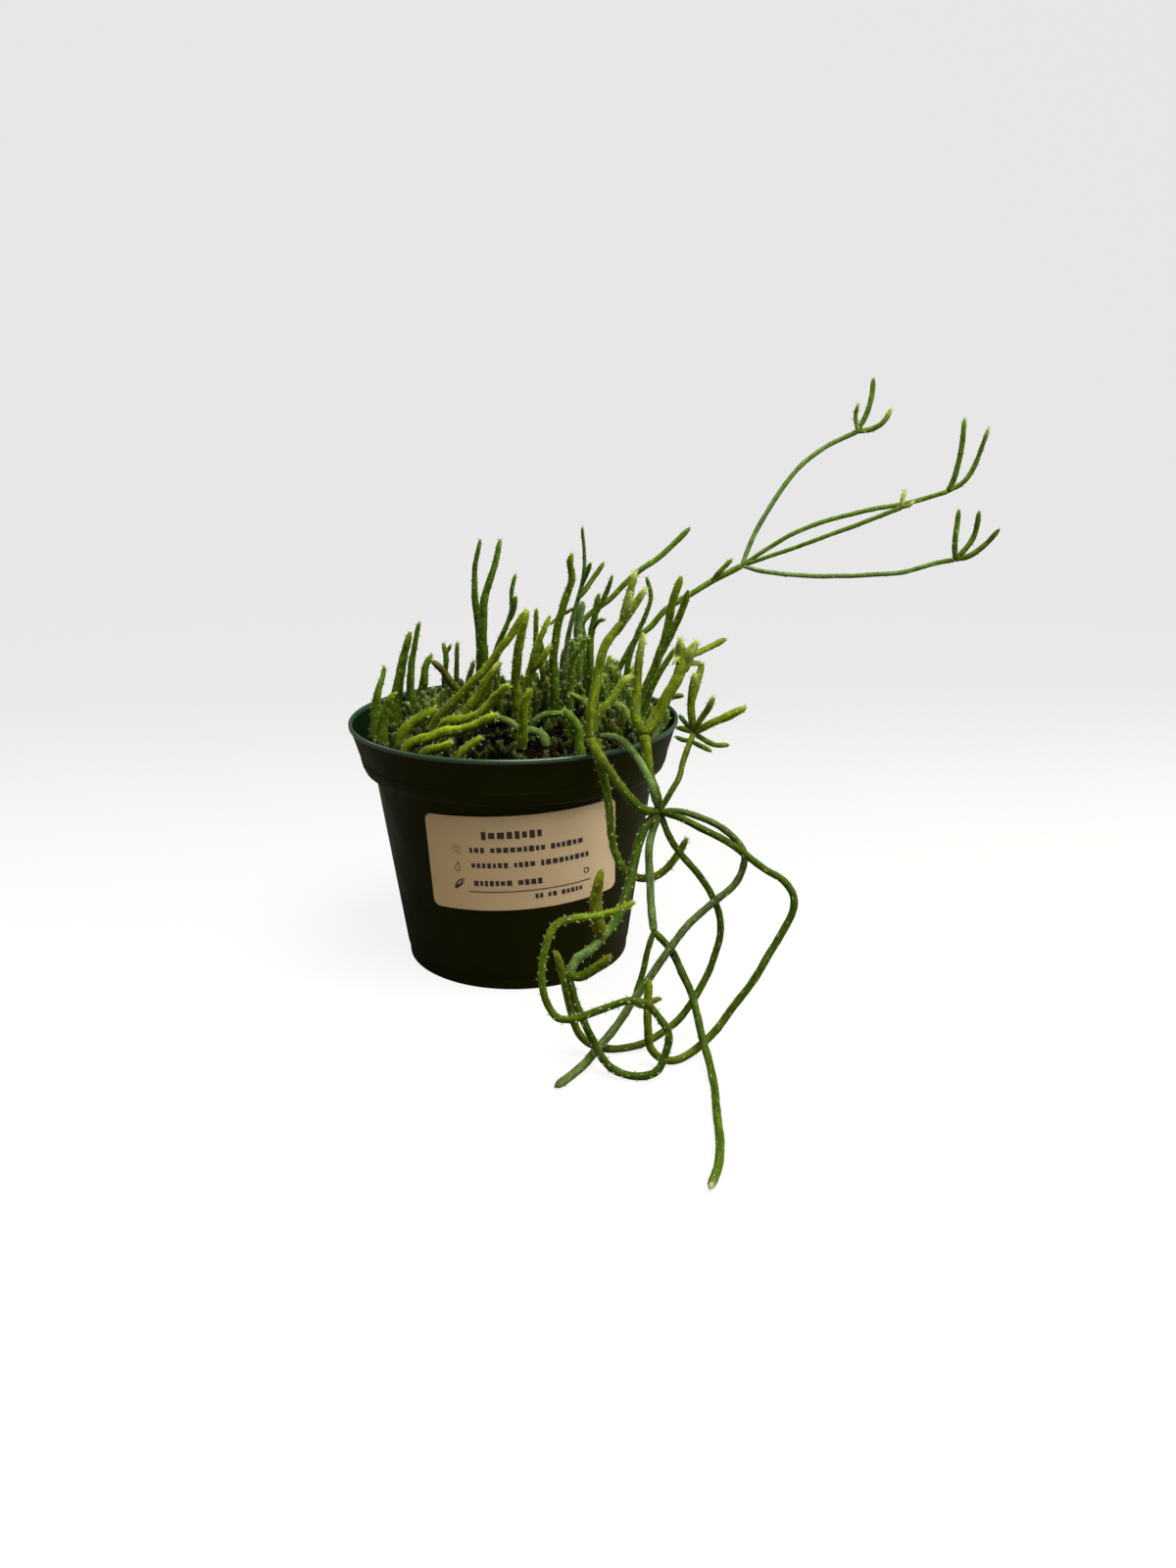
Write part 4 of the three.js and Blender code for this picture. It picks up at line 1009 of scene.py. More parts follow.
# each plant's arms: tone at the start, tone at the end, woolliness, first and last radius, route
plants = {
    "trailing_spray": {"slot": "mature", "root": (38, -24), "arms": [
        ("blue", "blue", 0.35, 1.6, 1.6, (40, -31, 114), (43, -46, 118.5), (47, -62, 120.3), (53, -74, 115),
            (57, -79, 106), (61, -78, 94)),
        ("dark", "moss", 0.35, 1.9, 2.1, (61, -78, 94), (54, -82, 96), (47, -84, 103), (40, -84, 113),
            (35, -82, 121), (31, -78, 127)),
        ("olive", "olive", 0.4, 2.1, 1.9, (31, -78, 127), (32, -76, 137), (34, -73, 146), (36, -70, 157),
            (39, -68, 165), (48, -64, 175)),
        ("olive", "pale", 0.9, 2.0, 1.3, (46, -65, 173), (48.3, -62.5, 182), (52, -59, 194)),
        ("olive", "woolly", 0.9, 1.7, 1.5, (46.3, -65, 173), (48.3, -65.8, 180), (49, -66.3, 186)),
        ("olive", "pale", 0.8, 2.1, 1.2, (46.5, -64.7, 173.5), (51.3, -63.2, 180.5), (56, -62, 187)),
        ("olive", "pale", 0.5, 1.9, 1.6, (31, -78, 127), (35, -76, 136), (41, -73, 142), (45, -70, 148),
            (50, -68, 151.5)),
        ("dark", "moss", 0.2, 2.2, 2.4, (61, -78, 94), (59, -78, 103), (57, -76, 108), (56, -72, 118),
            (55, -69, 126)),
        ("olive", "woolly", 0.85, 2.2, 1.4, (55, -69, 126), (52, -68, 131), (51, -66, 137), (52, -64, 143),
            (53, -62, 154), (55.5, -60, 167)),
        ("olive", "olive", 0.35, 2.5, 2.5, (55, -69, 126), (61, -65, 133), (65, -64, 140), (70, -61, 148),
            (73, -58, 156)),
        ("olive", "pale", 0.9, 2.9, 1.7, (72, -58.8, 151), (71.5, -57.5, 158), (71.5, -56.5, 165)),
        ("olive", "woolly", 0.9, 2.9, 1.7, (72.5, -58.3, 151), (75.5, -58.5, 158), (78.5, -59, 164)),
        ("lime", "pale", 0.9, 1.4, 1.1, (73, -58, 156), (70, -60, 156), (68, -62, 155)),
        ("lime", "pale", 0.9, 1.3, 1.1, (73, -58, 154), (77, -54, 153), (82, -50, 152)),
        ("olive", "olive", 0.3, 1.4, 1.3, (73, -58, 156), (81, -53, 158), (93, -46, 162)),
        ("dark", "moss", 0.1, 1.3, 1.4, (61, -78, 94), (66, -76, 102), (70, -72, 107), (72, -67, 112),
            (75, -62, 118), (78, -58, 123)),
        ("olive", "pale", 0.6, 1.6, 2, (78, -58, 123), (77, -57, 130), (77, -56, 138), (78.5, -54.5, 149)),
        ("olive", "lime", 0.4, 1.7, 1.5, (77.3, -56.3, 137), (79.7, -53.5, 145), (82.5, -49, 152)),
        ("olive", "pale", 0.4, 1.3, 1.5, (78, -58, 123), (80, -61, 129), (83, -63, 135), (85, -66, 141)),
        ("olive", "lime", 0.45, 1.6, 1.9, (78, -58, 123), (83, -59, 126), (94, -61, 132), (100, -62, 135)),
        ("leaf", "olive", 0.3, 1.2, 1.2, (78, -58, 123), (83, -55, 119), (88, -53, 116), (95, -50, 115)),
        ("dark", "leaf", 0.15, 1.1, 1.1, (76, -60, 120), (80, -65, 119), (84, -70, 118)),
        ("leaf", "olive", 0.3, 1.3, 1.2, (78, -58, 123), (74, -55, 124), (71, -52, 124)),
        ("dark", "leaf", 0.15, 1.1, 1, (78, -58, 123), (75, -52, 126), (73, -46, 128)),
        ("dark", "dark", 0.15, 1.2, 1.1, (76, -60, 120), (73, -58, 120), (70, -56, 121)),
        ("blue", "blue", 0.12, 1.7, 1.7, (61, -78, 94), (59, -80, 89), (56, -84, 81), (56, -88, 70),
            (56, -92, 60), (57, -97, 47)),
        ("dark", "cut", 0.15, 1.65, 1.7, (57, -97, 47), (61, -99, 43), (65, -102, 38), (68, -106, 32),
            (71, -110, 26), (73, -117, 18), (75, -127, 9), (76, -135, 4.5), (76, -146, 2.3),
            (74, -167, 2.2), (72, -187, 2.2), (69, -202, 2.2), (64, -215, 2.2)),
        ("dark", "dark", 0.15, 1.3, 1.3, (57, -97, 47), (54, -100, 39), (52, -103, 31), (48, -105, 20)),
        ("dark", "moss", 0.15, 1.4, 1.7, (61, -78, 94), (65, -84, 84), (70, -88, 77), (77, -91, 69),
            (82, -94, 61), (85, -97, 53), (85, -99, 45), (82, -101, 35), (78, -103, 26), (72, -106, 17),
            (66, -109, 11), (58, -112, 6), (51, -114, 3.4), (44, -115, 2.3), (36, -116, 2.6), (29, -116, 5),
            (24, -115, 10), (21, -112, 18), (18, -107, 32), (15, -105, 43)),
        ("dull", "dull", 0.2, 1.35, 1.85, (61, -78, 94), (68, -81, 95), (76, -85, 94), (84, -88, 91),
            (91, -91, 86), (95, -94, 80), (94, -96, 73), (90, -98, 67), (82, -100, 61), (73, -102, 54),
            (67, -104, 48), (61, -106, 40), (55, -108, 32), (49, -110, 24), (44, -113, 18), (39, -116, 12),
            (34, -120, 8), (29, -125, 5), (24, -132, 3.4), (18, -139, 2.7), (13, -145, 2.6)),
        ("dark", "moss", 0.15, 1.5, 1.7, (61, -78, 94), (68, -86, 94), (78, -91, 90), (87, -95, 86),
            (95, -99, 81), (103, -101, 75), (110, -104, 71), (114, -106, 65), (114, -107, 59),
            (109, -108, 49), (103, -110, 39), (96, -112, 28), (88, -114, 18), (81, -117, 10), (74, -121, 5),
            (67, -125, 2.8), (62, -127, 2.3), (57, -127, 3.6), (53, -126, 8), (52, -125, 15),
            (52, -122, 25), (53, -118, 35)),
        ("amber", "olive", 0.4, 1.5, 1.3, (52, -122, 25), (55, -121, 27), (58, -120, 27)),
        ("amber", "olive", 0.4, 1.5, 1.3, (52, -122, 25), (50, -120, 24), (47, -119, 24)),
        ("dark", "blue", 0.6, 1.9, 2, (61, -78, 94), (55, -82, 89), (51, -86, 82), (49, -89, 73),
            (46, -93, 64), (42, -97, 55), (36, -101, 48), (30, -105, 43), (24, -109, 41), (20, -112, 35)),
        ("leaf", "amber", 0.6, 1.9, 2, (20, -112, 35), (24, -114, 35), (29, -116, 38), (33, -118, 42),
            (37, -120, 47)),
        ("dark", "olive", 0.8, 1.6, 1.45, (20, -112, 35), (22, -117, 28), (25, -122, 21), (29, -127, 13),
            (33, -132, 7), (38, -136, 3.6), (46, -138, 2.3), (54, -138, 4), (58, -136, 11), (59, -135, 19),
            (55, -134, 26), (50, -134, 32), (43, -133, 33), (35, -132, 30), (28, -131, 27), (22, -131, 25),
            (15, -130, 25), (11, -129, 30), (9, -128, 38), (9, -127, 47), (11, -125, 56), (15, -123, 63),
            (22, -121, 64), (31, -119, 64), (39, -117, 65), (47, -115, 68)),
        ("amber", "amber", 1, 2.5, 1.5, (34, -102.3, 46.3), (32.5, -103, 56), (32.5, -103, 67),
            (34.5, -103, 78)),
    ]},
    "hanging_shoot": {"slot": "young", "root": (38, -37), "arms": [
        ("leaf", "olive", 0.85, 2, 1.5, (37, -47, 115), (34, -62, 121.5), (34, -70, 121.6), (35, -78, 117),
            (37, -80, 109), (39, -81, 99), (40, -81, 87), (42, -81, 76), (46, -81, 69), (53, -81, 65),
            (60, -81, 66), (66, -81, 71), (70, -80, 77), (73, -79, 82)),
    ]},
    "long_branch": {"slot": "mature", "root": (44, 28), "arms": [
        ("leaf", "leaf", 0.15, 1.5, 1.5, (50, 27, 128), (56, 26, 141), (61, 26, 149), (68, 26, 155),
            (75, 26, 163), (88, 26, 171), (100, 26, 178), (112, 26, 184)),
        ("olive", "lime", 0.6, 1.3, 1.1, (97, 26, 176), (101, 23, 182), (106, 20, 188)),
        ("blue", "leaf", 0.05, 1.2, 1.15, (112, 26, 184), (115, 29, 191), (120, 32, 201), (129, 35, 215),
            (140, 38, 229), (154, 41, 239), (170, 44, 246)),
        ("pale", "pale", 0.8, 1.2, 1, (170, 44, 246), (168, 41, 254), (168, 38, 259)),
        ("dark", "leaf", 0.2, 1.4, 1.2, (170, 44, 246), (174, 46, 253), (177, 48, 262), (178, 50, 271)),
        ("leaf", "pale", 0.5, 1.4, 1.2, (170, 44, 246), (177, 45, 247), (183, 45, 251), (187, 46, 257)),
        ("leaf", "leaf", 0.1, 1.05, 1.15, (112, 26, 184), (124, 27, 191.7), (138, 28, 199.3),
            (153, 29, 204.7), (176, 30, 210), (195, 31, 213), (213, 32, 218)),
        ("dark", "leaf", 0.3, 1.5, 1.2, (213, 32, 218), (216, 33, 224), (219, 35, 236), (220, 36, 252)),
        ("leaf", "pale", 0.6, 1.25, 1, (213, 32, 218), (221, 32, 223), (225, 31, 230), (230, 30, 248)),
        ("leaf", "leaf", 0.1, 1, 1.1, (112, 26, 184), (123, 24, 188), (134, 22, 192), (144, 20, 196),
            (166, 18, 204), (186, 16, 212)),
        ("pale", "pale", 0.8, 1.2, 1, (186, 16, 212), (186, 16, 216), (187, 16, 220)),
        ("olive", "pale", 0.5, 1.1, 1, (186, 16, 212), (189, 15, 213), (191, 14, 215)),
        ("blue", "leaf", 0.1, 1.1, 1.1, (112, 26, 184), (120, 23, 182), (129, 21, 180.7), (144, 18, 179.8),
            (166, 16, 180), (189, 13, 182), (202, 11, 186), (211, 8, 188)),
        ("dark", "leaf", 0.3, 1.4, 1.2, (211, 8, 188), (211, 10, 195), (212, 12, 202), (213, 14, 211)),
        ("leaf", "leaf", 0.3, 1.4, 1.2, (211, 8, 188), (215, 7, 193), (219, 7, 200), (220, 6, 211)),
        ("leaf", "leaf", 0.2, 1.4, 1.2, (211, 8, 188), (217, 6, 190), (224, 4, 196), (229, 2, 203)),
    ]},
    "thin_branch": {"slot": "mature", "root": (38, 50), "arms": [
        ("leaf", "leaf", 0.15, 1.4, 1.45, (38, 53, 125), (37, 57, 143), (36, 58, 151), (41, 59, 157),
            (50, 60, 163), (57, 60, 170), (66, 60, 178), (75, 60, 184), (83, 60, 191), (91, 60, 199)),
    ]},
    "left_stem_1": {"slot": "dark", "root": (-66, 5), "arms": [
        ("leaf", "leaf", 0.7, 2.8, 0.9, (-66, 6, 119), (-64, 6, 130), (-62, 7, 136), (-61, 8, 141)),
    ]},
    "left_stem_2": {"slot": "young", "root": (-63, -6), "arms": [
        ("leaf", "olive", 0.7, 2.6, 1.4, (-61, -7, 119), (-58, -8, 128), (-55, -9, 132)),
    ]},
    "left_stem_3": {"slot": "dark", "root": (-60, 22), "arms": [
        ("leaf", "leaf", 0.8, 2.9, 1.6, (-58, 22, 120), (-55, 21, 133), (-53, 21, 142), (-49, 20, 155)),
    ]},
    "left_stem_4": {"slot": "young", "root": (-51, 20), "arms": [
        ("leaf", "leaf", 0.7, 2.3, 1, (-50, 19, 118), (-50, 17, 130), (-48, 15, 144), (-44, 12, 161)),
    ]},
    "left_stem_5": {"slot": "dark", "root": (-48, 36), "arms": [
        ("dark", "leaf", 0.9, 2.8, 1.3, (-47, 36, 117), (-45, 35, 126), (-43, 34, 136), (-40, 34, 141)),
    ]},
    "back_stem_1": {"slot": "dark", "root": (-22, 44), "arms": [
        ("dark", "brown", 0.6, 2.2, 1.6, (-26, 43, 118), (-32, 42, 126), (-37, 41, 133), (-41, 40, 137)),
    ]},
    "back_stem_2": {"slot": "dark", "root": (-36, 50), "arms": [
        ("dark", "leaf", 0.8, 1.2, 1.3, (-35, 50, 115), (-35, 49, 127), (-34, 48, 137), (-35, 48, 144)),
        ("dark", "leaf", 0.6, 1, 1.2, (-34, 48, 137), (-33, 48, 140), (-31, 47, 143)),
    ]},
    "back_stem_3": {"slot": "dark", "root": (-28, 53), "arms": [
        ("dark", "leaf", 0.6, 1.3, 1.1, (-29, 52, 118), (-29, 51, 130), (-28, 50, 144)),
    ]},
    "back_stem_4": {"slot": "dark", "root": (-17, 58), "arms": [
        ("dark", "leaf", 0.5, 3, 1, (-16.5, 57, 125), (-16.5, 56, 142), (-18, 55, 160), (-18.5, 54, 178),
            (-15, 52, 195)),
    ]},
    "back_stem_5": {"slot": "dark", "root": (-13, 44), "arms": [
        ("dark", "leaf", 0.6, 3.2, 1.3, (-14, 44, 122), (-15, 44, 135), (-15, 44, 150), (-13, 44, 168),
            (-9, 44, 180), (-5, 44, 196)),
    ]},
    "back_stem_6": {"slot": "dark", "root": (-6, 34), "arms": [
        ("dark", "leaf", 0.6, 1.7, 1, (-8, 34, 125), (-8, 34, 142), (-3, 34, 154), (0, 34, 163),
            (0, 34, 172), (2, 34, 180)),
        ("leaf", "leaf", 0.7, 1.5, 1.4, (-1, 34, 158), (1, 32, 164), (2, 30, 170)),
    ]},
    "arching_stem_1": {"slot": "young", "root": (-53, -22), "arms": [
        ("lime", "olive", 0.8, 2.3, 2.2, (-51, -22, 116), (-46, -23, 121), (-40, -24, 125),
            (-35, -24, 128)),
    ]},
    "arching_stem_2": {"slot": "young", "root": (-39, -8), "arms": [
        ("olive", "lime", 0.5, 1.8, 1.7, (-36, -9, 119), (-28, -10, 127), (-20, -11, 136), (-12, -11, 144),
            (-5, -12, 153), (1, -13, 161), (6, -15, 170)),
    ]},
    "arching_stem_3": {"slot": "young", "root": (-35, -19), "arms": [
        ("lime", "lime", 0.8, 1.9, 2.2, (-33, -22, 118), (-29, -25, 122), (-23, -27, 123), (-16, -30, 126),
            (-9, -33, 133), (-2, -40, 142)),
    ]},
    "arching_stem_4": {"slot": "young", "root": (-50, -34), "arms": [
        ("lime", "lime", 0.8, 2.2, 2.1, (-47, -35, 114), (-37, -39, 118), (-31, -41, 121), (-24, -43, 122),
            (-19, -45, 124), (-13, -48, 128), (-7, -50, 131)),
    ]},
    "arching_stem_5": {"slot": "young", "root": (-42, -47), "arms": [
        ("olive", "lime", 0.8, 1.9, 1.9, (-39, -49, 114), (-31, -52, 117), (-27, -54, 120)),
    ]},
    "arching_stem_6": {"slot": "young", "root": (-27, -55), "arms": [
        ("leaf", "lime", 0.8, 1.7, 1.5, (-24, -57, 115), (-19, -57, 119), (-14, -58, 123)),
    ]},
    "arching_stem_7": {"slot": "young", "root": (-26, 6), "arms": [
        ("lime", "pale", 0.95, 2.3, 1.9, (-22, 5, 120), (-16, 4, 127), (-12, 2, 135), (-6, 0, 144)),
    ]},
    "arching_stem_8": {"slot": "dark", "root": (-25, 28), "arms": [
        ("dark", "leaf", 0.9, 1.4, 1.2, (-23, 26, 121), (-22, 24, 129), (-19, 22, 140)),
    ]},
    "middle_stem_1": {"slot": "young", "root": (1, 0), "arms": [
        ("olive", "lime", 0.8, 2.1, 2, (2, -1, 117), (1, -3, 136), (2, -5, 145), (3, -6, 154),
            (7, -8, 170)),
    ]},
    "middle_stem_2": {"slot": "dark", "root": (11, 36), "arms": [
        ("dark", "leaf", 0.8, 1.5, 1.1, (10, 36, 124), (11, 35, 140), (12, 34, 163)),
    ]},
    "middle_stem_3": {"slot": "young", "root": (6, 18), "arms": [
        ("leaf", "lime", 0.8, 2.4, 1.2, (6, 17, 122), (8, 16, 133), (10, 14, 144), (14, 13, 154),
            (18, 12, 163)),
        ("olive", "lime", 0.8, 1.9, 1.5, (9, 15, 136), (13, 13, 141), (18, 12, 149)),
    ]},
    "middle_stem_4": {"slot": "young", "root": (3, -18), "arms": [
        ("olive", "lime", 0.8, 1.8, 1.7, (4, -20, 119), (5, -22, 130), (8, -24, 136)),
    ]},
    "middle_stem_5": {"slot": "mature", "root": (15, -16), "arms": [
        ("blue", "dark", 0.5, 1.8, 1.7, (13, -14, 111), (8, -12, 113), (2, -10, 114), (-3, -8, 117),
            (-9, -7, 119)),
    ]},
    "middle_stem_6": {"slot": "dark", "root": (8, -4), "arms": [
        ("blue", "leaf", 0.4, 1.3, 1.5, (9, -5, 114), (14, -7, 119), (23, -10, 121)),
    ]},
    "middle_stem_7": {"slot": "dark", "root": (30, -42), "arms": [
        ("leaf", "leaf", 0.7, 1.9, 1.9, (29, -38, 115), (28, -37, 122), (22, -34, 129)),
    ]},
    "middle_stem_8": {"slot": "mature", "root": (34, -8), "arms": [
        ("blue", "olive", 0.5, 1.7, 1.4, (35, -8, 118), (33, -8, 125), (26, -8, 130)),
    ]},
    "middle_stem_9": {"slot": "mature", "root": (42, -12), "arms": [
        ("blue", "leaf", 0.3, 2, 2, (41, -12, 117), (41, -13, 123), (45, -15, 126), (50, -20, 125),
            (56, -28, 117)),
    ]},
    "right_stem_1": {"slot": "young", "root": (20, 24), "arms": [
        ("leaf", "olive", 0.8, 2.1, 1.6, (20, 23, 127), (20, 22, 142), (22, 21, 156), (25, 20, 168),
            (29, 19, 179), (28, 17, 188), (29, 16, 192)),
    ]},
    "right_stem_2": {"slot": "mature", "root": (26, 42), "arms": [
        ("blue", "dark", 0.3, 1.7, 0.8, (26, 43, 124), (27, 43, 142), (29, 42, 152), (33, 41, 167),
            (35, 40, 174), (36, 39, 181), (35, 38, 202)),
        ("leaf", "leaf", 0.4, 1.4, 1.2, (35, 40, 174), (37, 38, 179), (39, 36, 185)),
        ("leaf", "olive", 0.5, 1.4, 1.2, (33, 40, 167), (39, 41, 174), (46, 44, 184)),
        ("leaf", "leaf", 0.4, 1, 0.9, (31, 41, 162), (25, 44, 158), (19, 46, 153)),
    ]},
    "right_stem_3": {"slot": "mature", "root": (33, 49), "arms": [
        ("blue", "blue", 0.6, 2.2, 2.1, (33, 49, 127), (33, 49, 145), (34, 49, 156), (36, 49, 164)),
    ]},
    "right_stem_4": {"slot": "dark", "root": (38, 12), "arms": [
        ("dark", "leaf", 0.6, 2.2, 1.3, (37, 11, 129), (37, 10, 146), (38, 10, 157), (41, 8, 174)),
        ("leaf", "leaf", 0.6, 1.5, 0.9, (40, 9, 165), (44, 7, 173), (47, 4, 183)),
        ("dark", "leaf", 0.5, 1.1, 1, (39, 9, 158), (41, 8, 161), (44, 6, 162)),
    ]},
    "right_stem_5": {"slot": "dark", "root": (26, 1), "arms": [
        ("leaf", "leaf", 0.8, 1.6, 1.4, (27, 0, 132), (28, -2, 145), (32, -3, 151), (35, -4, 156)),
    ]},
    "right_stem_6": {"slot": "young", "root": (59, 4), "arms": [
        ("leaf", "olive", 0.4, 2.2, 1.8, (61, 4, 123), (66, 3, 135), (69, 2, 144), (72, 2, 153),
            (75, 1, 169), (79, 0, 183)),
        ("leaf", "olive", 0.4, 1.9, 1.6, (69, 2, 144), (72, 1, 150), (78, -2, 164), (82, -4, 177)),
    ]},
    "right_stem_7": {"slot": "dark", "root": (52, 14), "arms": [
        ("dark", "leaf", 0.6, 1.7, 1, (54, 14, 128), (57, 14, 144), (60, 13, 154), (64, 13, 163),
            (66, 12, 172), (64, 12, 181)),
    ]},
    "right_stem_8": {"slot": "dark", "root": (59, -10), "arms": [
        ("dark", "leaf", 0.4, 1.5, 1.3, (62, -11, 126), (67, -13, 138), (75, -14, 152)),
    ]},
    "right_stem_9": {"slot": "dark", "root": (64, 14), "arms": [
        ("dark", "leaf", 0.3, 1.4, 1.3, (70, 5, 122), (75, -2, 126), (80, -8, 128)),
    ]},
    "right_stem_10": {"slot": "mature", "root": (63, -20), "arms": [
        ("blue", "leaf", 0.5, 1.5, 1.5, (67, -19, 113), (70, -19, 118), (71, -20, 124)),
    ]},
}


def growStems():
    for name, plant in plants.items():
        first, *others = plant["arms"]
        start = (*plant["root"], stem["collar"])
        arms = [(*first[:5], start, *first[5:]), *others, rootOf(first, plant["root"])]
        onBody(growPlant(name, arms, False), plant["slot"], name)


growStems()
print("stems grown")

# short upright plants between the long stems, by one rule: a root spot on the mix, then a few shoots
clump = {
    "count": 13,
    "seed": 11,
    "reach": 60,
    "bare": (-24, 40, 26),  # left, right and back edges of the open soil at the front
    "rootSpacing": 7.5,
    "places": 160,
    "stride": 37,
    "swing": 0.8,
    "fewest": 4,
    "markSpacing": 3,
    "shoots": 5,
    "tries": 8,
    "short": (8, 18),  # lengths at the left and the front
    "tall": (18, 45),  # and at the right and the back
    "across": (-50, 30),
    "along": (-40, 5),
    "skew": 1,
    "lean": (0.12, 0.62),
    "radius": (1.4, 2.1),
    "taper": 0.75,
    "clearance": 0.9,
    "wallClearance": 70,
    "rimTop": 121,
    "fuzz": 0.75,
}

sprig = {
    "seed": 29,
    "count": 105,
    "places": 600,
    "stride": 149,
    "swing": 0.4,
    "reach": 65,
    "rootSpacing": 4.7,
    "sparser": 3.3,  # times the spacing, on the open soil
    "fewest": 2,
    "shoots": 5,
    "tries": 6,
    "short": (4, 12),
    "tall": (8, 36),
    "skew": 2.2,  # more short shoots than tall ones
    "leanLow": (0.35, 1.25),
    "leanHigh": (0.05, 0.85),
    "slender": (0.55, 18),  # share of the radius of the shortest shoots, length from which it is full
    "radius": (1.3, 2.1),
    "taper": 0.82,
    "clearance": -1.7,
    "fuzz": (0.5, 0.35),  # and on the open soil
    "pieces": [  # tip tones of the low and of the tall shoots, a pair for each piece
        ("blue", "leaf"), ("leaf", "leaf"), ("dark", "olive"),
    ],
}


def makeDraw(seed):
    state = [seed]

    def draw():
        state[0] = (state[0] * 16807) % 2147483647
        return state[0] / 2147483647
    return draw


def marksOf(rootRadius, tipRadius, points):  # balls along a route, for telling what is clear
    marks = []
    for start, end in zip(points, points[1:]):
        parts = math.ceil(math.dist(start, end) / clump["markSpacing"])
        for k in range(parts + 1):
            marks.append([*(mix(a, b, k / parts) for a, b in zip(start, end)), max(rootRadius, tipRadius)])
    return np.array(marks)


def isClear(marks, others, clearance):
    apart = np.linalg.norm(marks[:, None, :3] - others[None, :, :3], axis=2)
    return bool(np.all(apart > marks[:, None, 3] + others[None, :, 3] + clearance))


def insidePot(marks):
    high = marks[:, 2] > clump["rimTop"]
    return bool(np.all(high | (np.hypot(marks[:, 0], marks[:, 1]) < clump["wallClearance"])))


def isSpaced(root, roots, spacing):
    return all(math.dist(root, other) > spacing for other in roots)


def isBare(root):
    left, right, back = clump["bare"]
    return left < root[0] < right and root[1] < back


def shareOf(span, value):
    return min(1, max(0, (value - span[0]) / (span[1] - span[0])))


def tallAt(x, y):  # 0 for short shoots, 1 for tall ones
    return shareOf(clump["across"], x) * shareOf(clump["along"], y)


def mixPairs(first, second, share):
    return [mix(a, b, share) for a, b in zip(first, second)]


def rootPlaces(rule, draw):  # spots on the mix, spread like seeds in a head, in a mixed order
    for i in range(rule["places"]):
        place = (i * rule["stride"]) % rule["places"]
        turn = place * goldenTurn + rule["swing"] * draw()
        yield aroundZ(rule["reach"] * math.sqrt((place + 0.5) / rule["places"]), turn)


def drawShoot(rule, root, heading, draw):
    lengths = mixPairs(rule["short"], rule["tall"], tallAt(*root))
    length = mix(*lengths, draw() ** rule["skew"])
    lean = mix(*rule["lean"], draw())
    radius = mix(*rule["radius"], draw())

    def place(out, up):
        x, y = aroundZ(out, heading)
        return root[0] + x, root[1] + y, stem["collar"] + up
    middle = place(length * 0.5 * math.sin(lean), length * 0.5 * math.cos(lean))
    tip = place(length * math.sin(lean * 0.8), length * math.cos(lean * 0.8))
    return radius, radius * rule["taper"], [place(0, 0), middle, tip]


def drawRosette(rule, root, marks, draw):
    arms = []
    for shoot in range(rule["shoots"]):
        for _ in range(rule["tries"]):
            heading = 2 * math.pi * (shoot + draw()) / rule["shoots"]
            rootRadius, tipRadius, points = drawShoot(rule, root, heading, draw)
            path = marksOf(rootRadius, tipRadius, points)
            if insidePot(path) and isClear(path, marks, rule["clearance"]):
                arms.append((rootRadius, tipRadius, *points))
                break
    return arms


def standingMarks():
    found = []
    for plant in plants.values():
        for i, arm in enumerate(plant["arms"]):
            points = list(arm[5:])
            if i == 0:
                points.insert(0, (*plant["root"], stem["collar"]))
            found.append(marksOf(arm[3], arm[4], points))
    return np.vstack(found)


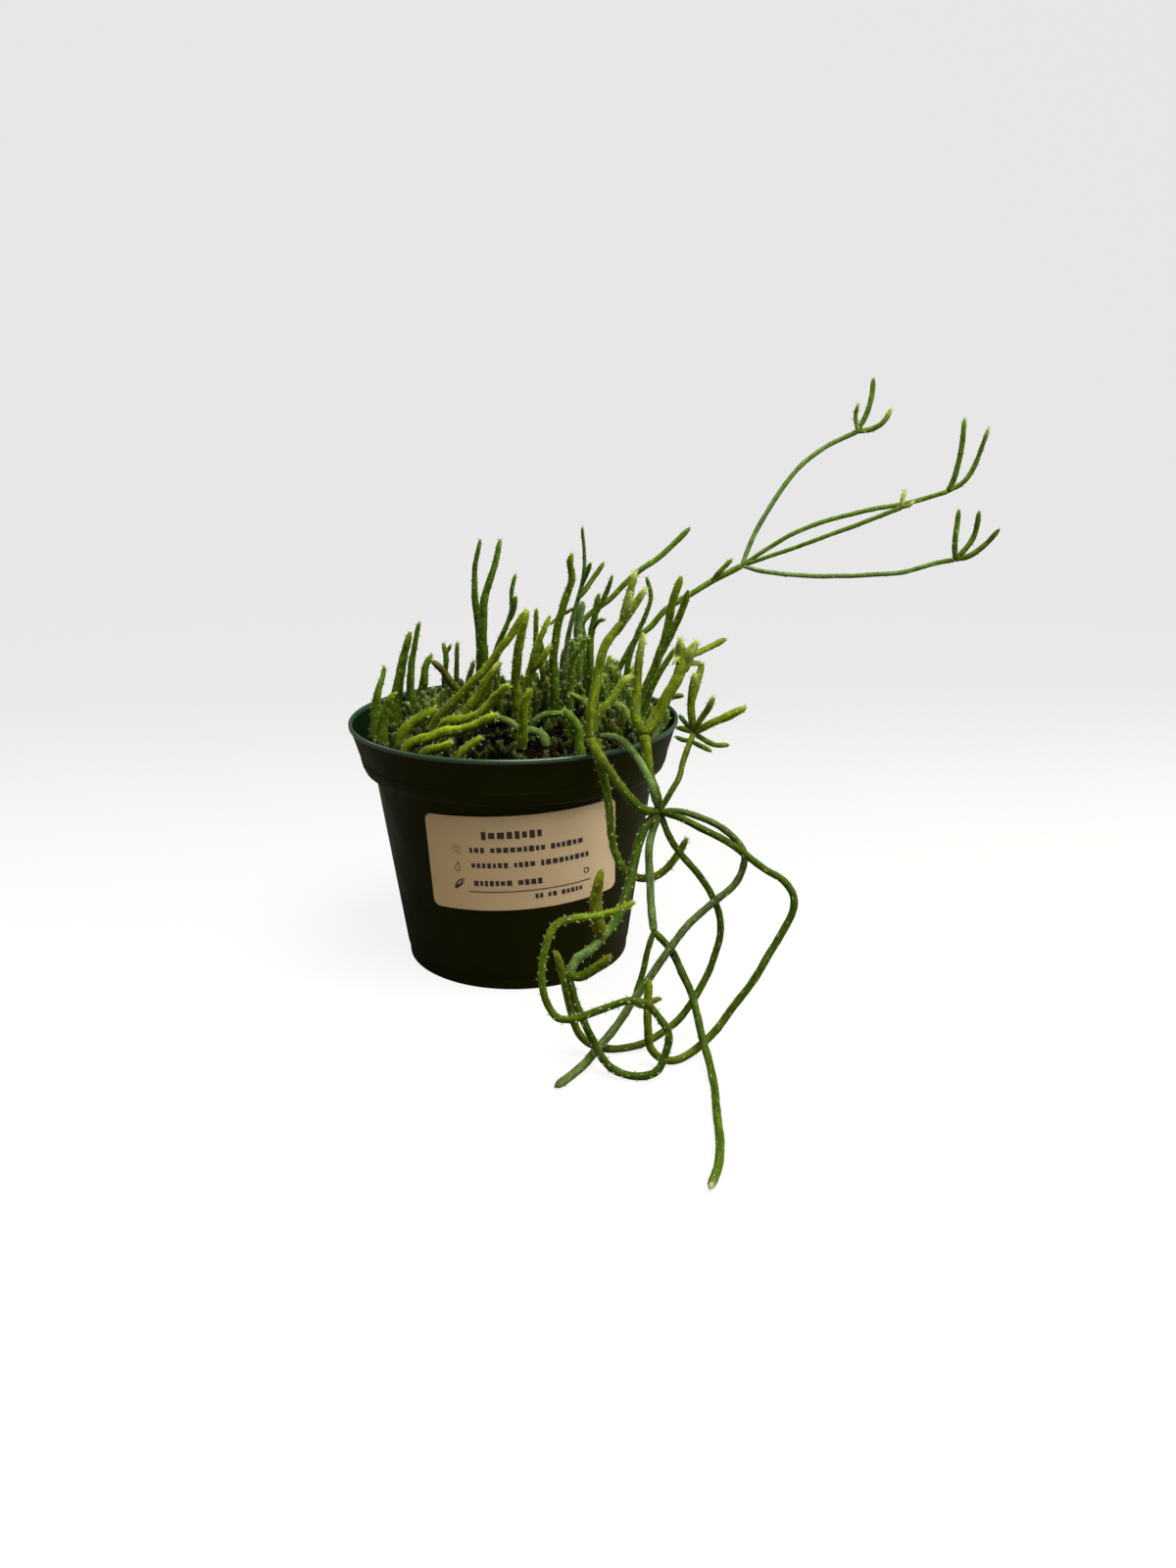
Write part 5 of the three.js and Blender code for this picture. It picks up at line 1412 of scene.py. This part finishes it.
def drawClumps(marks):
    draw = makeDraw(clump["seed"])
    roots = [plant["root"] for plant in plants.values()]
    found = []
    for root in rootPlaces(clump, draw):
        spaced = isSpaced(root, roots, clump["rootSpacing"])
        if spaced and not isBare(root) and len(found) < clump["count"]:
            arms = drawRosette(clump, root, marks, draw)
            if len(arms) >= clump["fewest"]:
                found.append((root, arms))
                roots.append(root)
                marks = np.vstack([marks] + [marksOf(arm[0], arm[1], arm[2:]) for arm in arms])
    return found, marks


def slimmed(arm):  # short shoots are thinner
    rootRadius, tipRadius, *points = arm
    share, full = sprig["slender"]
    slim = mix(share, 1, min(1, math.dist(points[0], points[-1]) / full))
    return rootRadius * slim, tipRadius * slim, *points


def drawSprigs(marks):
    draw = makeDraw(sprig["seed"])
    roots, found = [], []
    for root in rootPlaces(sprig, draw):
        bare = isBare(root)
        spacing = sprig["rootSpacing"] * (sprig["sparser"] if bare else 1)
        if isSpaced(root, roots, spacing) and len(found) < sprig["count"]:
            lean = mixPairs(sprig["leanLow"], sprig["leanHigh"], 0 if bare else tallAt(*root))
            rule = dict(sprig, lean=lean, tall=sprig["short" if bare else "tall"])
            arms = [slimmed(arm) for arm in drawRosette(rule, root, marks, draw)]
            if len(arms) >= sprig["fewest"]:
                found.append((root, arms))
                roots.append(root)
    return found


def toned(arms, tipTone, fuzz):
    return [("shade", tipTone, fuzz, *arm) for arm in arms]


def growLow():
    clumps, marks = drawClumps(standingMarks())
    for number, (root, arms) in enumerate(clumps, 1):
        name = f"low_clump_{number}"
        young = number % 3 == 1
        arms = toned(arms, "olive" if young else "leaf", clump["fuzz"])
        arms.append(rootOf(arms[0], root))
        onBody(growPlant(name, arms, True), "young" if young else "dark", name)
    sprigs = drawSprigs(marks)
    print("clumps", len(clumps), "sprigs", len(sprigs), sum(len(arms) for _, arms in sprigs))
    inBed, inOpen = sprig["fuzz"]
    for number, (lowTone, tallTone) in enumerate(sprig["pieces"]):
        arms = []
        for root, shoots in sprigs[number::len(sprig["pieces"])]:
            low = tallAt(*root) < 0.4 or isBare(root)
            arms += toned(shoots, lowTone if low else tallTone, inOpen if isBare(root) else inBed)
            arms.append(rootOf(arms[-1], root))
        onBody(growPlant(f"sprigs{number + 1}", arms, True), "dark")


growLow()
print("low shoots grown")
